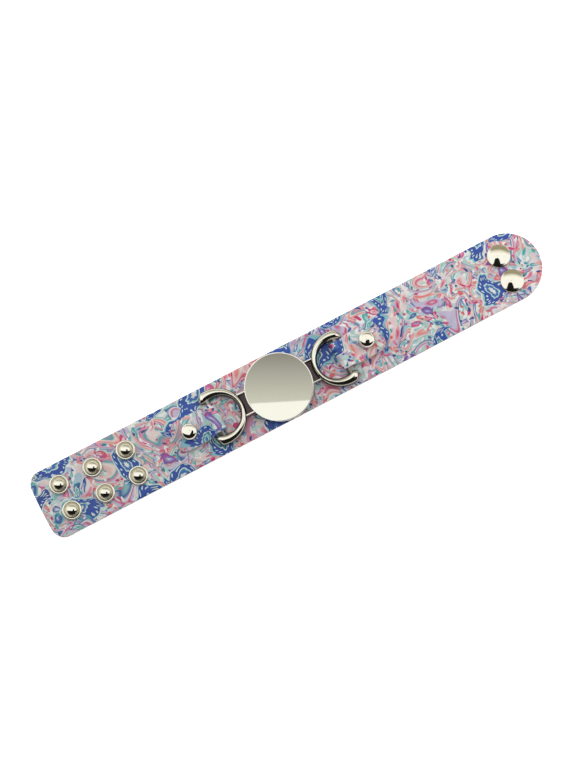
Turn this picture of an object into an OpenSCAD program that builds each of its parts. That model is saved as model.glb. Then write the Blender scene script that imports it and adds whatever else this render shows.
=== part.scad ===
// Snap bracelet: a printed leather strap lying flat and unfastened, face up.
// A polished metal centrepiece, a round disc between two horseshoe rings, hangs in two
// leather tabs that are folded round its hidden bars and riveted to the strap. The
// square end has six snap studs in two rows, and the round end two snap caps.
// +X runs along the strap to the round end, +Z up, origin under the strap's middle.

/* [Strap] */
// Length of the strap, end to end
strap_l = 235; // [200:1:260]
// Width of the strap
strap_w = 30; // [28:0.5:36]
// Thickness of the leather of the strap
strap_t = 2; // [1.5:0.1:3]
// Radius of the corners at the stud end
corner_r = 5.5; // [2:0.5:8]
// How far the stud end bulges out at its middle
end_bulge = 0.6; // [0.2:0.1:1.5]
// Where the strap starts to rise towards the caps
rise_from = 45; // [40:1:50]
// Where the strap lies level again under the caps
rise_to = 90; // [80:1:92]

/* [Centrepiece] */
// Place of the disc along the strap
disc_x = -6.4; // [-10:0.1:10]
// Place of the disc across the strap
disc_y = -0.5; // [-0.6:0.1:0.2]
// Turn of the centrepiece on the strap, clockwise from above
piece_turn = 1.5; // [0:0.1:1.8]
// Diameter of the disc
disc_d = 29; // [24:0.5:30]
// Thickness of the disc
disc_t = 1.2; // [0.8:0.1:2]
// Bevel round the disc's rim
disc_bevel = 0.35; // [0.1:0.05:0.5]
// Underside of the disc above the strap
disc_lift = 3; // [2.8:0.1:3.2]
// Radius of a ring's outside
ring_r = 12.1; // [11.5:0.1:12.5]
// Centre of a ring's outside, from the disc's centre
ring_x = 28.3; // [28:0.1:29]
// Radius of a ring's opening
hole_r = 8.1; // [7.6:0.1:8.4]
// Centre of a ring's opening, from the disc's centre
hole_x = 26.7; // [26.4:0.1:27]
// Half the width of the gap between a ring's ends
gap_half = 7.3; // [7.3:0.05:7.6]
// Where a ring's ends are cut off, from the disc's centre
ring_end = 32.6; // [32:0.1:33]
// Height of a ring's section
ring_h = 3.2; // [2.8:0.1:3.4]
// How far the ring hovers above the strap
ring_lift = 0.8; // [0.5:0.1:1]
// Width of each rim of the necks between disc and rings
rim_w = 0.85; // [0.6:0.05:1.2]
// Half the distance between the centre lines of the rims
rim_y = 4.7; // [4:0.1:5]
// Diameter of the hidden bars
bar_d = 2; // [1.6:0.1:2.1]

/* [Tabs] */
// Width of a tab at its rivet
tab_w = 13.6; // [12:0.2:14]
// Width of a tab at its fold
fold_w = 12.2; // [11:0.1:12.4]
// Thickness of one layer of a tab
tab_t = 1.15; // [1:0.05:1.3]
// Tip of the fold, from the disc's centre
fold_x = 27.1; // [26.8:0.1:27.3]
// Rivet, from the disc's centre
rivet_x = 41.7; // [41:0.1:43]
// End of a tab, from the disc's centre
tab_end = 49.2; // [48.8:0.1:50]
// Radius of the corners at a tab's end
tab_corner = 3.8; // [2:0.1:5]
// How far a tab's end bulges out at its middle
tab_bulge = 0.5; // [0.2:0.1:1]
// Turn of the left tab about its rivet
turn_left = 1; // [0:0.1:1.2]
// Turn of the right tab about its rivet
turn_right = 2.5; // [2:0.1:3]

/* [Rivets] */
// Diameter of a rivet's rim
rivet_d = 7.2; // [7:0.1:7.6]
// Diameter of the ball on a rivet
ball_d = 6.8; // [6:0.1:6.9]
// Diameter of a rivet's post
rivet_post_d = 2.8; // [2:0.1:3]

/* [Snaps] */
// First pair of studs along the strap
stud_x = -106.1; // [-107:0.1:-104]
// Distance between pairs of studs
stud_pitch = 15.5; // [14:0.1:16]
// Distance of each row of snaps from the strap's middle line
row_y = 6; // [5.5:0.1:7]
// Diameter of a stud's flange
stud_d = 8.4; // [7.8:0.1:9]
// Diameter of a stud's knob
knob_d = 4.2; // [4:0.1:4.4]
// Height of a stud above the strap
knob_h = 2.8; // [2.6:0.1:3]
// Pair of caps along the strap
cap_x = 101.6; // [100:0.1:103]
// Diameter of a cap
cap_d = 10.1; // [9:0.1:11]
// Height of a cap above the strap
cap_h = 2.2; // [1.8:0.1:2.6]
// Radial play between a stud's knob and a socket
snap_play = 0.08; // [0.06:0.01:0.15]
// Height of a socket under the strap
socket_h = 2.15; // [2:0.05:2.4]
// Diameter of the posts through the strap
post_d = 3; // [2.4:0.1:3]

/* [Hidden] */
$fn = 64;
STUD_PAIRS = 3;
// The rows at the far edge and at the near edge
SIDES = [["far", 1], ["near", -1]];

// The gap that is left between neighbouring pieces
gap = 0.05;
// Play round a post in its hole
post_play = 0.1;
// Gap between the two layers of a tab
layer_gap = 0.15;
// Play between a bar and the bed that it has worn in its fold
bed_play = 0.15;
// Room between a bar and the inside of its fold
eye_play = 0.25;
// Thickness of the flat backs that the strap rests on
back_t = 0.75;
// Diameters of the backs of rivets and of studs
rivet_back_d = 7.5;
eyelet_d = 8;
// How far a post reaches into its back, its socket, or the head above it
post_sink = 0.3;
head_sink = 0.8;
// Steps in a rounded profile and in a small rounding
STEPS = 8;
FEW = 4;
// How far a cutting shape reaches past what it cuts
OVER = 1;

under = back_t + gap;
strap_top = under + strap_t;
cap_rise = socket_h + gap - under;
cap_floor = strap_top + cap_rise;
ring_bottom = strap_top + ring_lift;
ring_top = ring_bottom + ring_h;
disc_bottom = strap_top + disc_lift;
tab_bottom = strap_top + gap;
eye_r = bar_d / 2 + eye_play;
eye_z = tab_bottom + tab_t + eye_r;
eye_x = fold_x + tab_t + eye_r;
tab_top = tab_bottom + 2 * tab_t + layer_gap;
socket_r = knob_d / 2 + snap_play;

LEATHER = [0.66, 0.64, 0.72];
METAL = [0.82, 0.81, 0.76];

// Points of an arc, in one plane
function arc(c, r, a0, a1, n) =
    [for (i = [0 : n]) let (a = a0 + (a1 - a0) * i / n) c + r * [cos(a), sin(a)]];

// A value that goes smoothly from 1 to 0 as s goes from 0 to 1
function ease(s) = (1 + cos(180 * s)) / 2;

// Height of the strap's underside above its flat part
function rise(x) =
    x <= rise_from ? 0
    : x >= rise_to ? cap_rise
    : cap_rise * (1 - ease((x - rise_from) / (rise_to - rise_from)));

// A quarter of an ellipse from the widest point up to the crest
function quarter(reach, height) =
    [for (i = [0 : STEPS]) [reach * (1 - cos(90 * i / STEPS)), height * sin(90 * i / STEPS)]];

// Places along the strap where its side outline has a point
strap_steps = concat(
    [-strap_l / 2 - OVER],
    [for (i = [0 : 2 * STEPS]) rise_from + (rise_to - rise_from) * i / (2 * STEPS)],
    [strap_l / 2 + OVER]
);

// The strap seen from its long side
module strap_side() {
    polygon(concat(
        [for (x = strap_steps) [x, under + rise(x)]],
        [for (i = [len(strap_steps) - 1 : -1 : 0])
            [strap_steps[i], strap_top + rise(strap_steps[i])]]
    ));
}

// Points round a square end with rounded corners that bulges out to its tip
function square_end(tip, half, corner, bulge) =
    let (
        flat = half - corner,
        bulge_r = (flat * flat + bulge * bulge) / (2 * bulge),
        bulge_a = asin(flat / bulge_r)
    )
    concat(
        arc([tip - bulge - corner, -flat], corner, -90, 0, STEPS),
        arc([tip - bulge_r, 0], bulge_r, -bulge_a, bulge_a, STEPS),
        arc([tip - bulge - corner, flat], corner, 0, 90, STEPS)
    );

// The strap seen from above: a round end, and a square end with a slight bulge
module strap_plan() {
    half = strap_w / 2;
    polygon(concat(
        arc([strap_l / 2 - half, 0], half, -90, 90, 6 * STEPS),
        [for (p = square_end(strap_l / 2, half, corner_r, end_bulge)) -p]
    ));
}

// Puts its children at a stud of one row
module at_stud(side, i) {
    translate([stud_x + (i - 1) * stud_pitch, side * row_y, 0]) children();
}

// Puts its children at a cap of one row
module at_cap(side) {
    translate([cap_x, side * row_y, 0]) children();
}

// Puts its children at the rivet of the left (-1) or right (1) tab
module at_rivet(end) {
    translate([disc_x + end * rivet_x, 0, 0]) children();
}

// Puts its children in the frame of the centrepiece
module at_disc() {
    translate([disc_x, disc_y, 0]) rotate(-piece_turn) children();
}

// A hole straight through all that lies between the surface and the top of the tabs
module drill(d) {
    translate([0, 0, -OVER]) cylinder(h = tab_top + 2 * OVER, d = d);
}

module strap() {
    color(LEATHER) difference() {
        intersection() {
            translate([0, strap_w, 0]) rotate([90, 0, 0]) linear_extrude(2 * strap_w) strap_side();
            linear_extrude(cap_floor + OVER) strap_plan();
        }
        for (s = SIDES, i = [1 : STUD_PAIRS]) at_stud(s[1], i) drill(post_d + 2 * post_play);
        for (s = SIDES) at_cap(s[1]) drill(post_d + 2 * post_play);
        for (end = [-1, 1]) at_rivet(end) drill(rivet_post_d + 2 * post_play);
    }
}

// How far a ring's crest lies inside its edge
crest = 2;
// Height where a ring's edge starts to round over
shoulder = 0.6;
// Bevel round a ring's underside
foot = 0.4;

// Solid under the rounded outside of a ring, as a half section
module ring_outside() {
    polygon(concat(
        [[0, ring_bottom], [ring_r - foot, ring_bottom], [ring_r, ring_bottom + foot]],
        [for (p = quarter(crest, ring_h - shoulder)) [ring_r - p[0], ring_bottom + shoulder + p[1]]],
        [[0, ring_top]]
    ));
}

// What an opening of the given half width takes away from a ring, as a half section
module ring_opening(half) {
    polygon(concat(
        [[0, ring_bottom - OVER], [half + foot, ring_bottom - OVER], [half + foot, ring_bottom],
            [half, ring_bottom + foot]],
        [for (p = quarter(crest, ring_h - shoulder)) [half + p[0], ring_bottom + shoulder + p[1]]],
        [[half + crest, ring_top + OVER], [0, ring_top + OVER]]
    ));
}

// Cuts off a ring's ends at an angle, so that they slope down to the tab
module end_cut() {
    slope = 1.5;
    slope_from = ring_bottom + 1;
    translate([0, 2 * ring_r, 0]) rotate([90, 0, 0]) linear_extrude(4 * ring_r)
        polygon([
            [ring_end, ring_bottom - OVER], [ring_end, slope_from],
            [ring_end - slope, ring_top], [ring_end - slope, ring_top + OVER],
            [ring_end + ring_r, ring_top + OVER], [ring_end + ring_r, ring_bottom - OVER]
        ]);
}

// One horseshoe ring with the bar that bites into both its ends, on the side of +X
module ring() {
    bite = 1.3;
    difference() {
        translate([ring_x, 0, 0]) rotate_extrude() ring_outside();
        translate([hole_x, 0, 0]) rotate_extrude() ring_opening(hole_r);
        translate([hole_x, 0, 0]) rotate([90, 0, 90]) linear_extrude(ring_r) {
            ring_opening(gap_half);
            mirror([1, 0]) ring_opening(gap_half);
        }
        end_cut();
    }
    translate([eye_x, 0, eye_z]) rotate([90, 0, 0])
        cylinder(h = 2 * (gap_half + bite), d = bar_d, center = true);
}

// The channel that joins the disc to both rings: a web between two rims
module necks() {
    web_t = 0.7;
    ring_bite = 1.6;
    disc_bite = 0.1;
    neck_bottom = ring_bottom + shoulder;
    half_l = ring_x - ring_r + ring_bite;
    rim_top = disc_bottom + disc_bite;
    translate([-half_l, -rim_y, neck_bottom]) cube([2 * half_l, 2 * rim_y, web_t]);
    for (side = [-1, 1])
        translate([-half_l, side * rim_y - rim_w / 2, neck_bottom])
            cube([2 * half_l, rim_w, rim_top - neck_bottom]);
}

// The disc, with a bevelled rim
module disc() {
    r = disc_d / 2;
    translate([0, 0, disc_bottom]) rotate_extrude()
        polygon([
            [0, 0], [r - disc_bevel / 2, 0], [r, disc_bevel / 2], [r, disc_t - disc_bevel],
            [r - disc_bevel, disc_t], [0, disc_t]
        ]);
}

module centrepiece() {
    color(METAL) at_disc() {
        disc();
        necks();
        for (end = [0, 180]) rotate(end) ring();
    }
}

// How far from the bar the upper layer of a tab comes down to the lower one
fold_run = 7;

// A point at one face of a tab's upper layer: s from 0 at the bar to 1 where it lies flat
function layer_point(s, side) =
    let (
        drop = eye_z + eye_r + tab_t / 2 - (tab_top - tab_t / 2),
        slope = -drop * PI / 2 * sin(180 * s) / fold_run,
        reach = side * tab_t / 2 / sqrt(1 + slope * slope)
    )
    [eye_x + fold_run * s - slope * reach, tab_top - tab_t / 2 + drop * ease(s) + reach];

// A tab seen from its side: one strip folded round the bar, with its two layers apart
module tab_side() {
    far = tab_end + OVER;
    polygon(concat(
        [[far, tab_bottom], [far, tab_bottom + tab_t]],
        arc([eye_x, eye_z], eye_r, 270, 90, 3 * STEPS),
        [for (i = [1 : 2 * STEPS]) layer_point(i / (2 * STEPS), -1)],
        [[far, tab_top - tab_t], [far, tab_top]],
        [for (i = [2 * STEPS : -1 : 1]) layer_point(i / (2 * STEPS), 1)],
        arc([eye_x, eye_z], eye_r + tab_t, 90, 270, 3 * STEPS)
    ));
}

// A tab seen from above, narrower at its fold, where it passes between the ring's ends
module tab_plan() {
    half = tab_w / 2;
    taper = 3;
    flare = ring_end + taper;
    polygon(concat(
        [[fold_x - OVER, -fold_w / 2], [ring_end, -fold_w / 2], [flare, -half]],
        square_end(tab_end, half, tab_corner, tab_bulge),
        [[flare, half], [ring_end, fold_w / 2], [fold_x - OVER, fold_w / 2]]
    ));
}

// A tab at one end of the centrepiece, with the bar's bed worn into its fold
module tab(end, turn) {
    color(LEATHER) difference() {
        at_rivet(end) rotate(turn) mirror([end < 0 ? 1 : 0, 0, 0]) translate([-rivet_x, 0, 0])
            intersection() {
                translate([0, tab_w, 0]) rotate([90, 0, 0]) linear_extrude(2 * tab_w) tab_side();
                linear_extrude(2 * eye_z) tab_plan();
            }
        at_rivet(end) drill(rivet_post_d + 2 * post_play);
        at_disc() translate([end * eye_x, 0, eye_z]) rotate([90, 0, 0])
            cylinder(h = 2 * tab_w, d = bar_d + 2 * bed_play, center = true);
    }
}

module tab_left() {
    tab(-1, turn_left);
}

module tab_right() {
    tab(1, turn_right);
}

// A flat round back under the strap, with rounded edges and room for a post's end
module back(d, hole_d) {
    soft = 0.3;
    recess = 0.35;
    rotate_extrude() polygon(concat(
        [[0, 0], [d / 2 - soft, 0]],
        arc([d / 2 - soft, soft], soft, -60, 0, FEW),
        arc([d / 2 - soft, back_t - soft], soft, 0, 90, FEW),
        [[hole_d / 2, back_t], [hole_d / 2, back_t - recess], [0, back_t - recess]]
    ));
}

// A ball on a thin rim, and the post that holds the tab to the strap
module rivet(end) {
    rim_t = 0.5;
    neck = 0.85;
    post_foot = back_t - post_sink;
    color(METAL) at_rivet(end) {
        translate([0, 0, tab_top + gap]) {
            cylinder(h = rim_t, d = rivet_d);
            intersection() {
                translate([0, 0, neck]) sphere(d = ball_d);
                cylinder(h = neck + ball_d, d = rivet_d);
            }
        }
        translate([0, 0, post_foot]) cylinder(h = tab_top + head_sink - post_foot, d = rivet_post_d);
    }
}

module rivet_back(end) {
    color(METAL) at_rivet(end) back(rivet_back_d, rivet_post_d + 2 * post_play);
}

// A stud: a flange with a rolled rim and a groove, a necked knob, and a blind bore below
module stud(side, i) {
    r = knob_d / 2;
    roll = 0.55;
    plate = 0.4;
    neck_in = 0.2;
    neck_r = r - neck_in;
    neck_h = 0.3;
    straight = 1;
    crown = 0.85;
    straight_from = knob_h - gap - crown - straight;
    crown_r = (r * r + crown * crown) / (2 * crown);
    bore_h = 0.9;
    color(METAL) at_stud(side, i) translate([0, 0, strap_top + gap]) difference() {
        union() {
            cylinder(h = plate, r = stud_d / 2 - roll);
            translate([0, 0, roll]) rotate_extrude()
                translate([stud_d / 2 - roll, 0]) circle(r = roll, $fn = 32);
            rotate_extrude() polygon(concat(
                [[0, 0], [r, 0], [r, plate], [neck_r, plate + neck_h], [r, straight_from]],
                arc([0, knob_h - gap - crown_r], crown_r, acos(r / crown_r), 90, STEPS)
            ));
        }
        translate([0, 0, -OVER]) cylinder(h = OVER + bore_h, d = post_d + 2 * post_play);
    }
}

// The eyelet that holds a stud: a flat back and a post up through the strap
module eyelet(side, i) {
    post_top = strap_top + gap + head_sink;
    dimple_r = 1.1;
    dimple = 0.3;
    color(METAL) at_stud(side, i) difference() {
        union() {
            back(eyelet_d, post_d);
            translate([0, 0, back_t / 2]) cylinder(h = post_top - back_t / 2, d = post_d);
        }
        translate([0, 0, -OVER]) cylinder(h = OVER + dimple, r = dimple_r);
    }
}

// A smooth low dome with a rolled edge, and the post down into its socket
module cap(side) {
    roll = 0.5;
    dome = cap_h - gap - roll;
    dome_r = (cap_d * cap_d / 4 + dome * dome) / (2 * dome);
    post_foot = socket_h - post_sink;
    color(METAL) at_cap(side) {
        translate([0, 0, cap_floor + gap]) rotate_extrude() polygon(concat(
            [[0, 0], [cap_d / 2 - roll, 0]],
            arc([cap_d / 2 - roll, roll], roll, -60, 0, FEW),
            arc([0, roll + dome - dome_r], dome_r, acos(cap_d / 2 / dome_r), 90, 2 * STEPS)
        ));
        translate([0, 0, post_foot]) cylinder(h = cap_floor + head_sink - post_foot, d = post_d);
    }
}

// A socket under the strap, open downwards for a stud's knob
module socket(side) {
    flange_d = 8.4;
    soft = 0.5;
    lip = 0.3;
    ceiling = 0.4;
    color(METAL) at_cap(side) rotate_extrude() polygon(concat(
        [[socket_r + lip, 0]],
        arc([flange_d / 2 - soft, soft], soft, -90, 0, FEW),
        arc([flange_d / 2 - soft, socket_h - soft], soft, 0, 90, FEW),
        [[post_d / 2 + post_play, socket_h], [post_d / 2 + post_play, socket_h - ceiling],
            [socket_r, socket_h - ceiling], [socket_r, lip]]
    ));
}

strap();
centrepiece();
tab_left();
tab_right();
for (end = [["left", -1], ["right", 1]]) {
    rivet(end[1]);
    rivet_back(end[1]);
}
for (s = SIDES) {
    cap(s[1]);
    socket(s[1]);
}
for (s = SIDES, i = [1 : STUD_PAIRS]) {
    stud(s[1], i);
    eyelet(s[1], i);
}
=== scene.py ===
"""Leather snap bracelet, lying flat and unfastened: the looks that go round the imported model.

Every length is in metres unless a name ends in _mm, and every piece stands in the frame of the
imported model: +X along the strap to its round end, +Z up, the origin on the surface underneath.
"""
import logging
import math
from dataclasses import dataclass
from enum import Enum
from typing import Callable, Iterable, Sequence

import bmesh
import bpy
from mathutils import Matrix, Vector


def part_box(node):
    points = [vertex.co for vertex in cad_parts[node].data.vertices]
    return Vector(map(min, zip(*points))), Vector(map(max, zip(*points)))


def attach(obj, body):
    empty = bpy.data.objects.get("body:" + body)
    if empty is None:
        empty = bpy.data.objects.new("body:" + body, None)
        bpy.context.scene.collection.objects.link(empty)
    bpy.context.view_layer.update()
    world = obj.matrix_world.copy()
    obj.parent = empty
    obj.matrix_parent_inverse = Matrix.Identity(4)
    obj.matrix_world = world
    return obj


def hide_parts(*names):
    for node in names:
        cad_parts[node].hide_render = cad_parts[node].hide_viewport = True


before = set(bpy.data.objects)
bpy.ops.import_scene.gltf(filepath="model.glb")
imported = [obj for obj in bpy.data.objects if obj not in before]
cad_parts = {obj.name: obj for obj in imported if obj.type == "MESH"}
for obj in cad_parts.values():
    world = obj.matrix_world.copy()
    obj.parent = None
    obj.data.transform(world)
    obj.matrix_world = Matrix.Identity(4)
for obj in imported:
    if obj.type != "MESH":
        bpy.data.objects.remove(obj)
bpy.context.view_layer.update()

MM = 0.001
MM_IN_M = 1000.0
MM_IN_DM = 100.0
DM_IN_M = 10.0
# A Mix node has a set of sockets for each kind of data, and these are the numbers of its colour ones.
BELOW, ABOVE, MIXED = 6, 7, 2
LOG = logging.getLogger("bracelet")
Point = tuple[float, float]
Bands = tuple[tuple[float, str], ...]
Test = Callable[[object], bool]
Pieces = list[bpy.types.Object]


class Side(Enum):
    """The end of the centrepiece that a ring, tab or rivet belongs to."""

    LEFT = -1
    RIGHT = 1


class Row(Enum):
    """The row of snaps, seen from the near long edge of the strap."""

    NEAR = -1
    FAR = 1


def clamp(value: float) -> float:
    """Limits a value to between 0 and 1."""
    return min(max(value, 0.0), 1.0)


def ease(share: float) -> float:
    """Turns an even climb from 0 to 1 into one that starts and ends level."""
    return (1 - math.cos(math.pi * clamp(share))) / 2


def linear(hex_colour: str) -> tuple[float, float, float, float]:
    """Turns an sRGB hex colour to linear values with full alpha.

    Args:
        hex_colour: Six hex digits after a hash sign.

    Returns:
        Red, green, blue and alpha, from 0 to 1.
    """
    values = [int(hex_colour[i:i + 2], 16) / 255 for i in (1, 3, 5)]
    red, green, blue = (v / 12.92 if v <= 0.04045 else ((v + 0.055) / 1.055) ** 2.4 for v in values)
    return red, green, blue, 1.0


def feed(node: bpy.types.Node, inputs: dict | Sequence) -> None:
    """Links or fills inputs of a node.

    Args:
        node: The node.
        inputs: A socket, a value or a hex colour for each input, in order, or by name or number.
    """
    for key, value in inputs.items() if isinstance(inputs, dict) else enumerate(inputs):
        if isinstance(value, bpy.types.NodeSocket):
            node.id_data.links.new(value, node.inputs[key])
        else:
            node.inputs[key].default_value = linear(value) if isinstance(value, str) else value


def add_node(tree: bpy.types.NodeTree, kind: str, inputs: dict | Sequence = (), output: int | str = 0,
             **settings) -> bpy.types.NodeSocket:
    """Adds a shader node with its settings and its links or values.

    Args:
        tree: The node tree that gets the node.
        kind: The node's type, without the word ShaderNode.
        inputs: A socket, a value or a hex colour for each input, in order, or by name or number.
        output: The output that is wanted, by name or number.
        **settings: Properties of the node itself.

    Returns:
        That output, whose node has the other ones.
    """
    made = tree.nodes.new("ShaderNode" + kind)
    for name, value in settings.items():
        setattr(made, name, value)
    feed(made, inputs)
    return made.outputs[output]


def inked(tree: bpy.types.NodeTree, factor: bpy.types.NodeSocket, colourways: Sequence[Bands],
          chance: bpy.types.NodeSocket | float = 0.0, wash: bool = False) -> bpy.types.NodeSocket:
    """Picks one of several colourways, and in it a colour by bands.

    Args:
        tree: The node tree.
        factor: What the bands are read against, from 0 to 1.
        colourways: For each colourway, where each band starts, and its hex colour.
        chance: What picks the colourway, from 0 to 1.
        wash: True where the bands run into each other, as thinned ink does.

    Returns:
        The socket with the colour.
    """
    colour = None
    for i, bands in enumerate(colourways):
        inks = add_node(tree, "ValToRGB", [factor])
        ramp = inks.node.color_ramp
        ramp.interpolation = "LINEAR" if wash else "CONSTANT"
        while len(ramp.elements) < len(bands):
            ramp.elements.new(0.5)
        for stop, (start, hex_colour) in zip(ramp.elements, bands):
            stop.position = start
            stop.color = linear(hex_colour)
        if i:
            other = add_node(tree, "Math", [chance, i / len(colourways)], operation="GREATER_THAN")
            inks = add_node(tree, "Mix", {"Factor": other, BELOW: colour, ABOVE: inks}, MIXED,
                            data_type="RGBA")
        colour = inks
    return colour


def new_material(name: str) -> tuple[bpy.types.Material, bpy.types.NodeTree, bpy.types.Node]:
    """Makes a material with a Principled BSDF.

    Args:
        name: The material's name.

    Returns:
        The material, its node tree and its shader.
    """
    material = bpy.data.materials.new(name)
    material.use_nodes = True
    tree = material.node_tree
    return material, tree, tree.nodes["Principled BSDF"]


@dataclass(frozen=True)
class Motif:
    """A drop-shaped figure that the print repeats, turned and curled.

    Attributes:
        spacing_mm: Distance between neighbouring figures.
        size_mm: Half the length of a figure.
        slim: Width of a figure as a share of its length.
        curl: How far its tail curls, in radians for each half length.
        keep: Share of the places that bear a figure.
        colourways: For each colourway, the bands of colour from its middle to its edge.
        shift_mm: Moves the whole layer, so that layers do not line up.
        stray: How far its direction strays from the flow of the print, in radians.
        wash: True where its bands run into each other.
        scallops: Number of scallops round its edge, or 0.
        beads: Number of pale beads round it, or 0.
    """

    spacing_mm: float
    size_mm: float
    slim: float
    curl: float
    keep: float
    colourways: tuple[Bands, ...]
    shift_mm: tuple[float, float]
    stray: float = 1.0
    wash: bool = False
    scallops: int = 0
    beads: int = 0

    # How unevenly the figures are strewn, and the length over which the flow of the print turns.
    SCATTER = 0.85
    FLOW_MM = 26.0
    # How much narrower than its middle a figure is at its tip, and how thin it may get.
    TAPER = 0.55
    THINNEST = 0.02
    SCALLOP_DEPTH = 0.09
    # Where the beads run, from the middle to the edge, how narrow their ring is, and how small they are.
    BEAD_RING = 0.74
    BEAD_TIGHTNESS = 14.0
    BEAD_CUT = 0.1
    BEAD = "#dff0ee"

    def printed(self, tree: bpy.types.NodeTree, place: bpy.types.NodeSocket,
                below: bpy.types.NodeSocket) -> bpy.types.NodeSocket:
        """Prints this layer of figures over what is below.

        Args:
            tree: The node tree.
            place: The place on the leather, in millimetres.
            below: The colour underneath.

        Returns:
            The socket with the figures on it.
        """
        moved = add_node(tree, "VectorMath", [place, (*self.shift_mm, 0)], operation="ADD")
        nearest = add_node(tree, "TexVoronoi", {"Vector": moved, "Scale": 1 / self.spacing_mm,
                                                "Randomness": self.SCATTER}, voronoi_dimensions="2D")
        cells = nearest.node.outputs
        chance = add_node(tree, "SeparateColor", [cells["Color"]]).node.outputs
        along, side = self.own_axes(tree, moved, cells["Position"], chance[0])
        squares = [add_node(tree, "Math", [part, part], operation="MULTIPLY") for part in (along, side)]
        depth = add_node(tree, "Math", [add_node(tree, "Math", squares, operation="ADD")], operation="SQRT")
        round_it = add_node(tree, "Math", [side, along], operation="ARCTAN2")
        if self.scallops:
            wave = add_node(tree, "Math", [round_it, float(self.scallops)], operation="MULTIPLY")
            wave = add_node(tree, "Math", [wave], operation="SINE")
            wave = add_node(tree, "Math", [wave], operation="ABSOLUTE")
            depth = add_node(tree, "Math", [wave, -self.SCALLOP_DEPTH, depth], operation="MULTIPLY_ADD")
        colour = inked(tree, depth, self.colourways, chance[2], self.wash)
        if self.beads:
            beat = add_node(tree, "Math", [round_it, float(self.beads)], operation="MULTIPLY")
            beat = add_node(tree, "Math", [beat], operation="SINE")
            off = add_node(tree, "Math", [depth, self.BEAD_RING], operation="SUBTRACT")
            off = add_node(tree, "Math", [off, self.BEAD_TIGHTNESS], operation="MULTIPLY")
            off = add_node(tree, "Math", [off, off], operation="MULTIPLY")
            bead = add_node(tree, "Math", [beat, off], operation="SUBTRACT")
            bead = add_node(tree, "Math", [bead, self.BEAD_CUT], operation="GREATER_THAN")
            colour = add_node(tree, "Mix", {"Factor": bead, BELOW: colour, ABOVE: self.BEAD}, MIXED,
                              data_type="RGBA")
        inside = add_node(tree, "Math", [depth, 1.0], operation="LESS_THAN")
        kept = add_node(tree, "Math", [chance[1], self.keep], operation="LESS_THAN")
        shown = add_node(tree, "Math", [inside, kept], operation="MULTIPLY")
        return add_node(tree, "Mix", {"Factor": shown, BELOW: below, ABOVE: colour}, MIXED, data_type="RGBA")

    def own_axes(self, tree: bpy.types.NodeTree, place: bpy.types.NodeSocket, middle: bpy.types.NodeSocket,
                 chance: bpy.types.NodeSocket) -> tuple[bpy.types.NodeSocket, bpy.types.NodeSocket]:
        """Measures a place along and across the figure that it is nearest to.

        Args:
            tree: The node tree.
            place: The place in this layer, in millimetres.
            middle: The middle of that figure.
            chance: What turns it off the flow of the print, from 0 to 1.

        Returns:
            How far along the figure the place is, and how far across it, both from -1 to 1.
        """
        local = add_node(tree, "VectorMath", [place, middle], operation="SUBTRACT")
        unit = add_node(tree, "VectorMath", {0: local, "Scale": 1 / self.size_mm}, operation="SCALE")
        reach = add_node(tree, "VectorMath", [unit], "Value", operation="LENGTH")
        flow = add_node(tree, "TexNoise", {"Vector": middle, "Scale": 1 / self.FLOW_MM, "Detail": 0.0},
                        noise_dimensions="2D")
        turn = add_node(tree, "Math", [flow, 4 * math.pi], operation="MULTIPLY")
        turn = add_node(tree, "Math", [chance, 2 * self.stray, turn], operation="MULTIPLY_ADD")
        angle = add_node(tree, "Math", [reach, self.curl, turn], operation="MULTIPLY_ADD")
        curled = add_node(tree, "VectorRotate", {"Vector": unit, "Angle": angle}, rotation_type="Z_AXIS")
        along, across, _ = add_node(tree, "SeparateXYZ", [curled]).node.outputs
        half_width = add_node(tree, "Math", [along, -self.TAPER * self.slim, self.slim],
                              operation="MULTIPLY_ADD")
        half_width = add_node(tree, "Math", [half_width, self.THINNEST], operation="MAXIMUM")
        return along, add_node(tree, "Math", [across, half_width], operation="DIVIDE")


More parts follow.
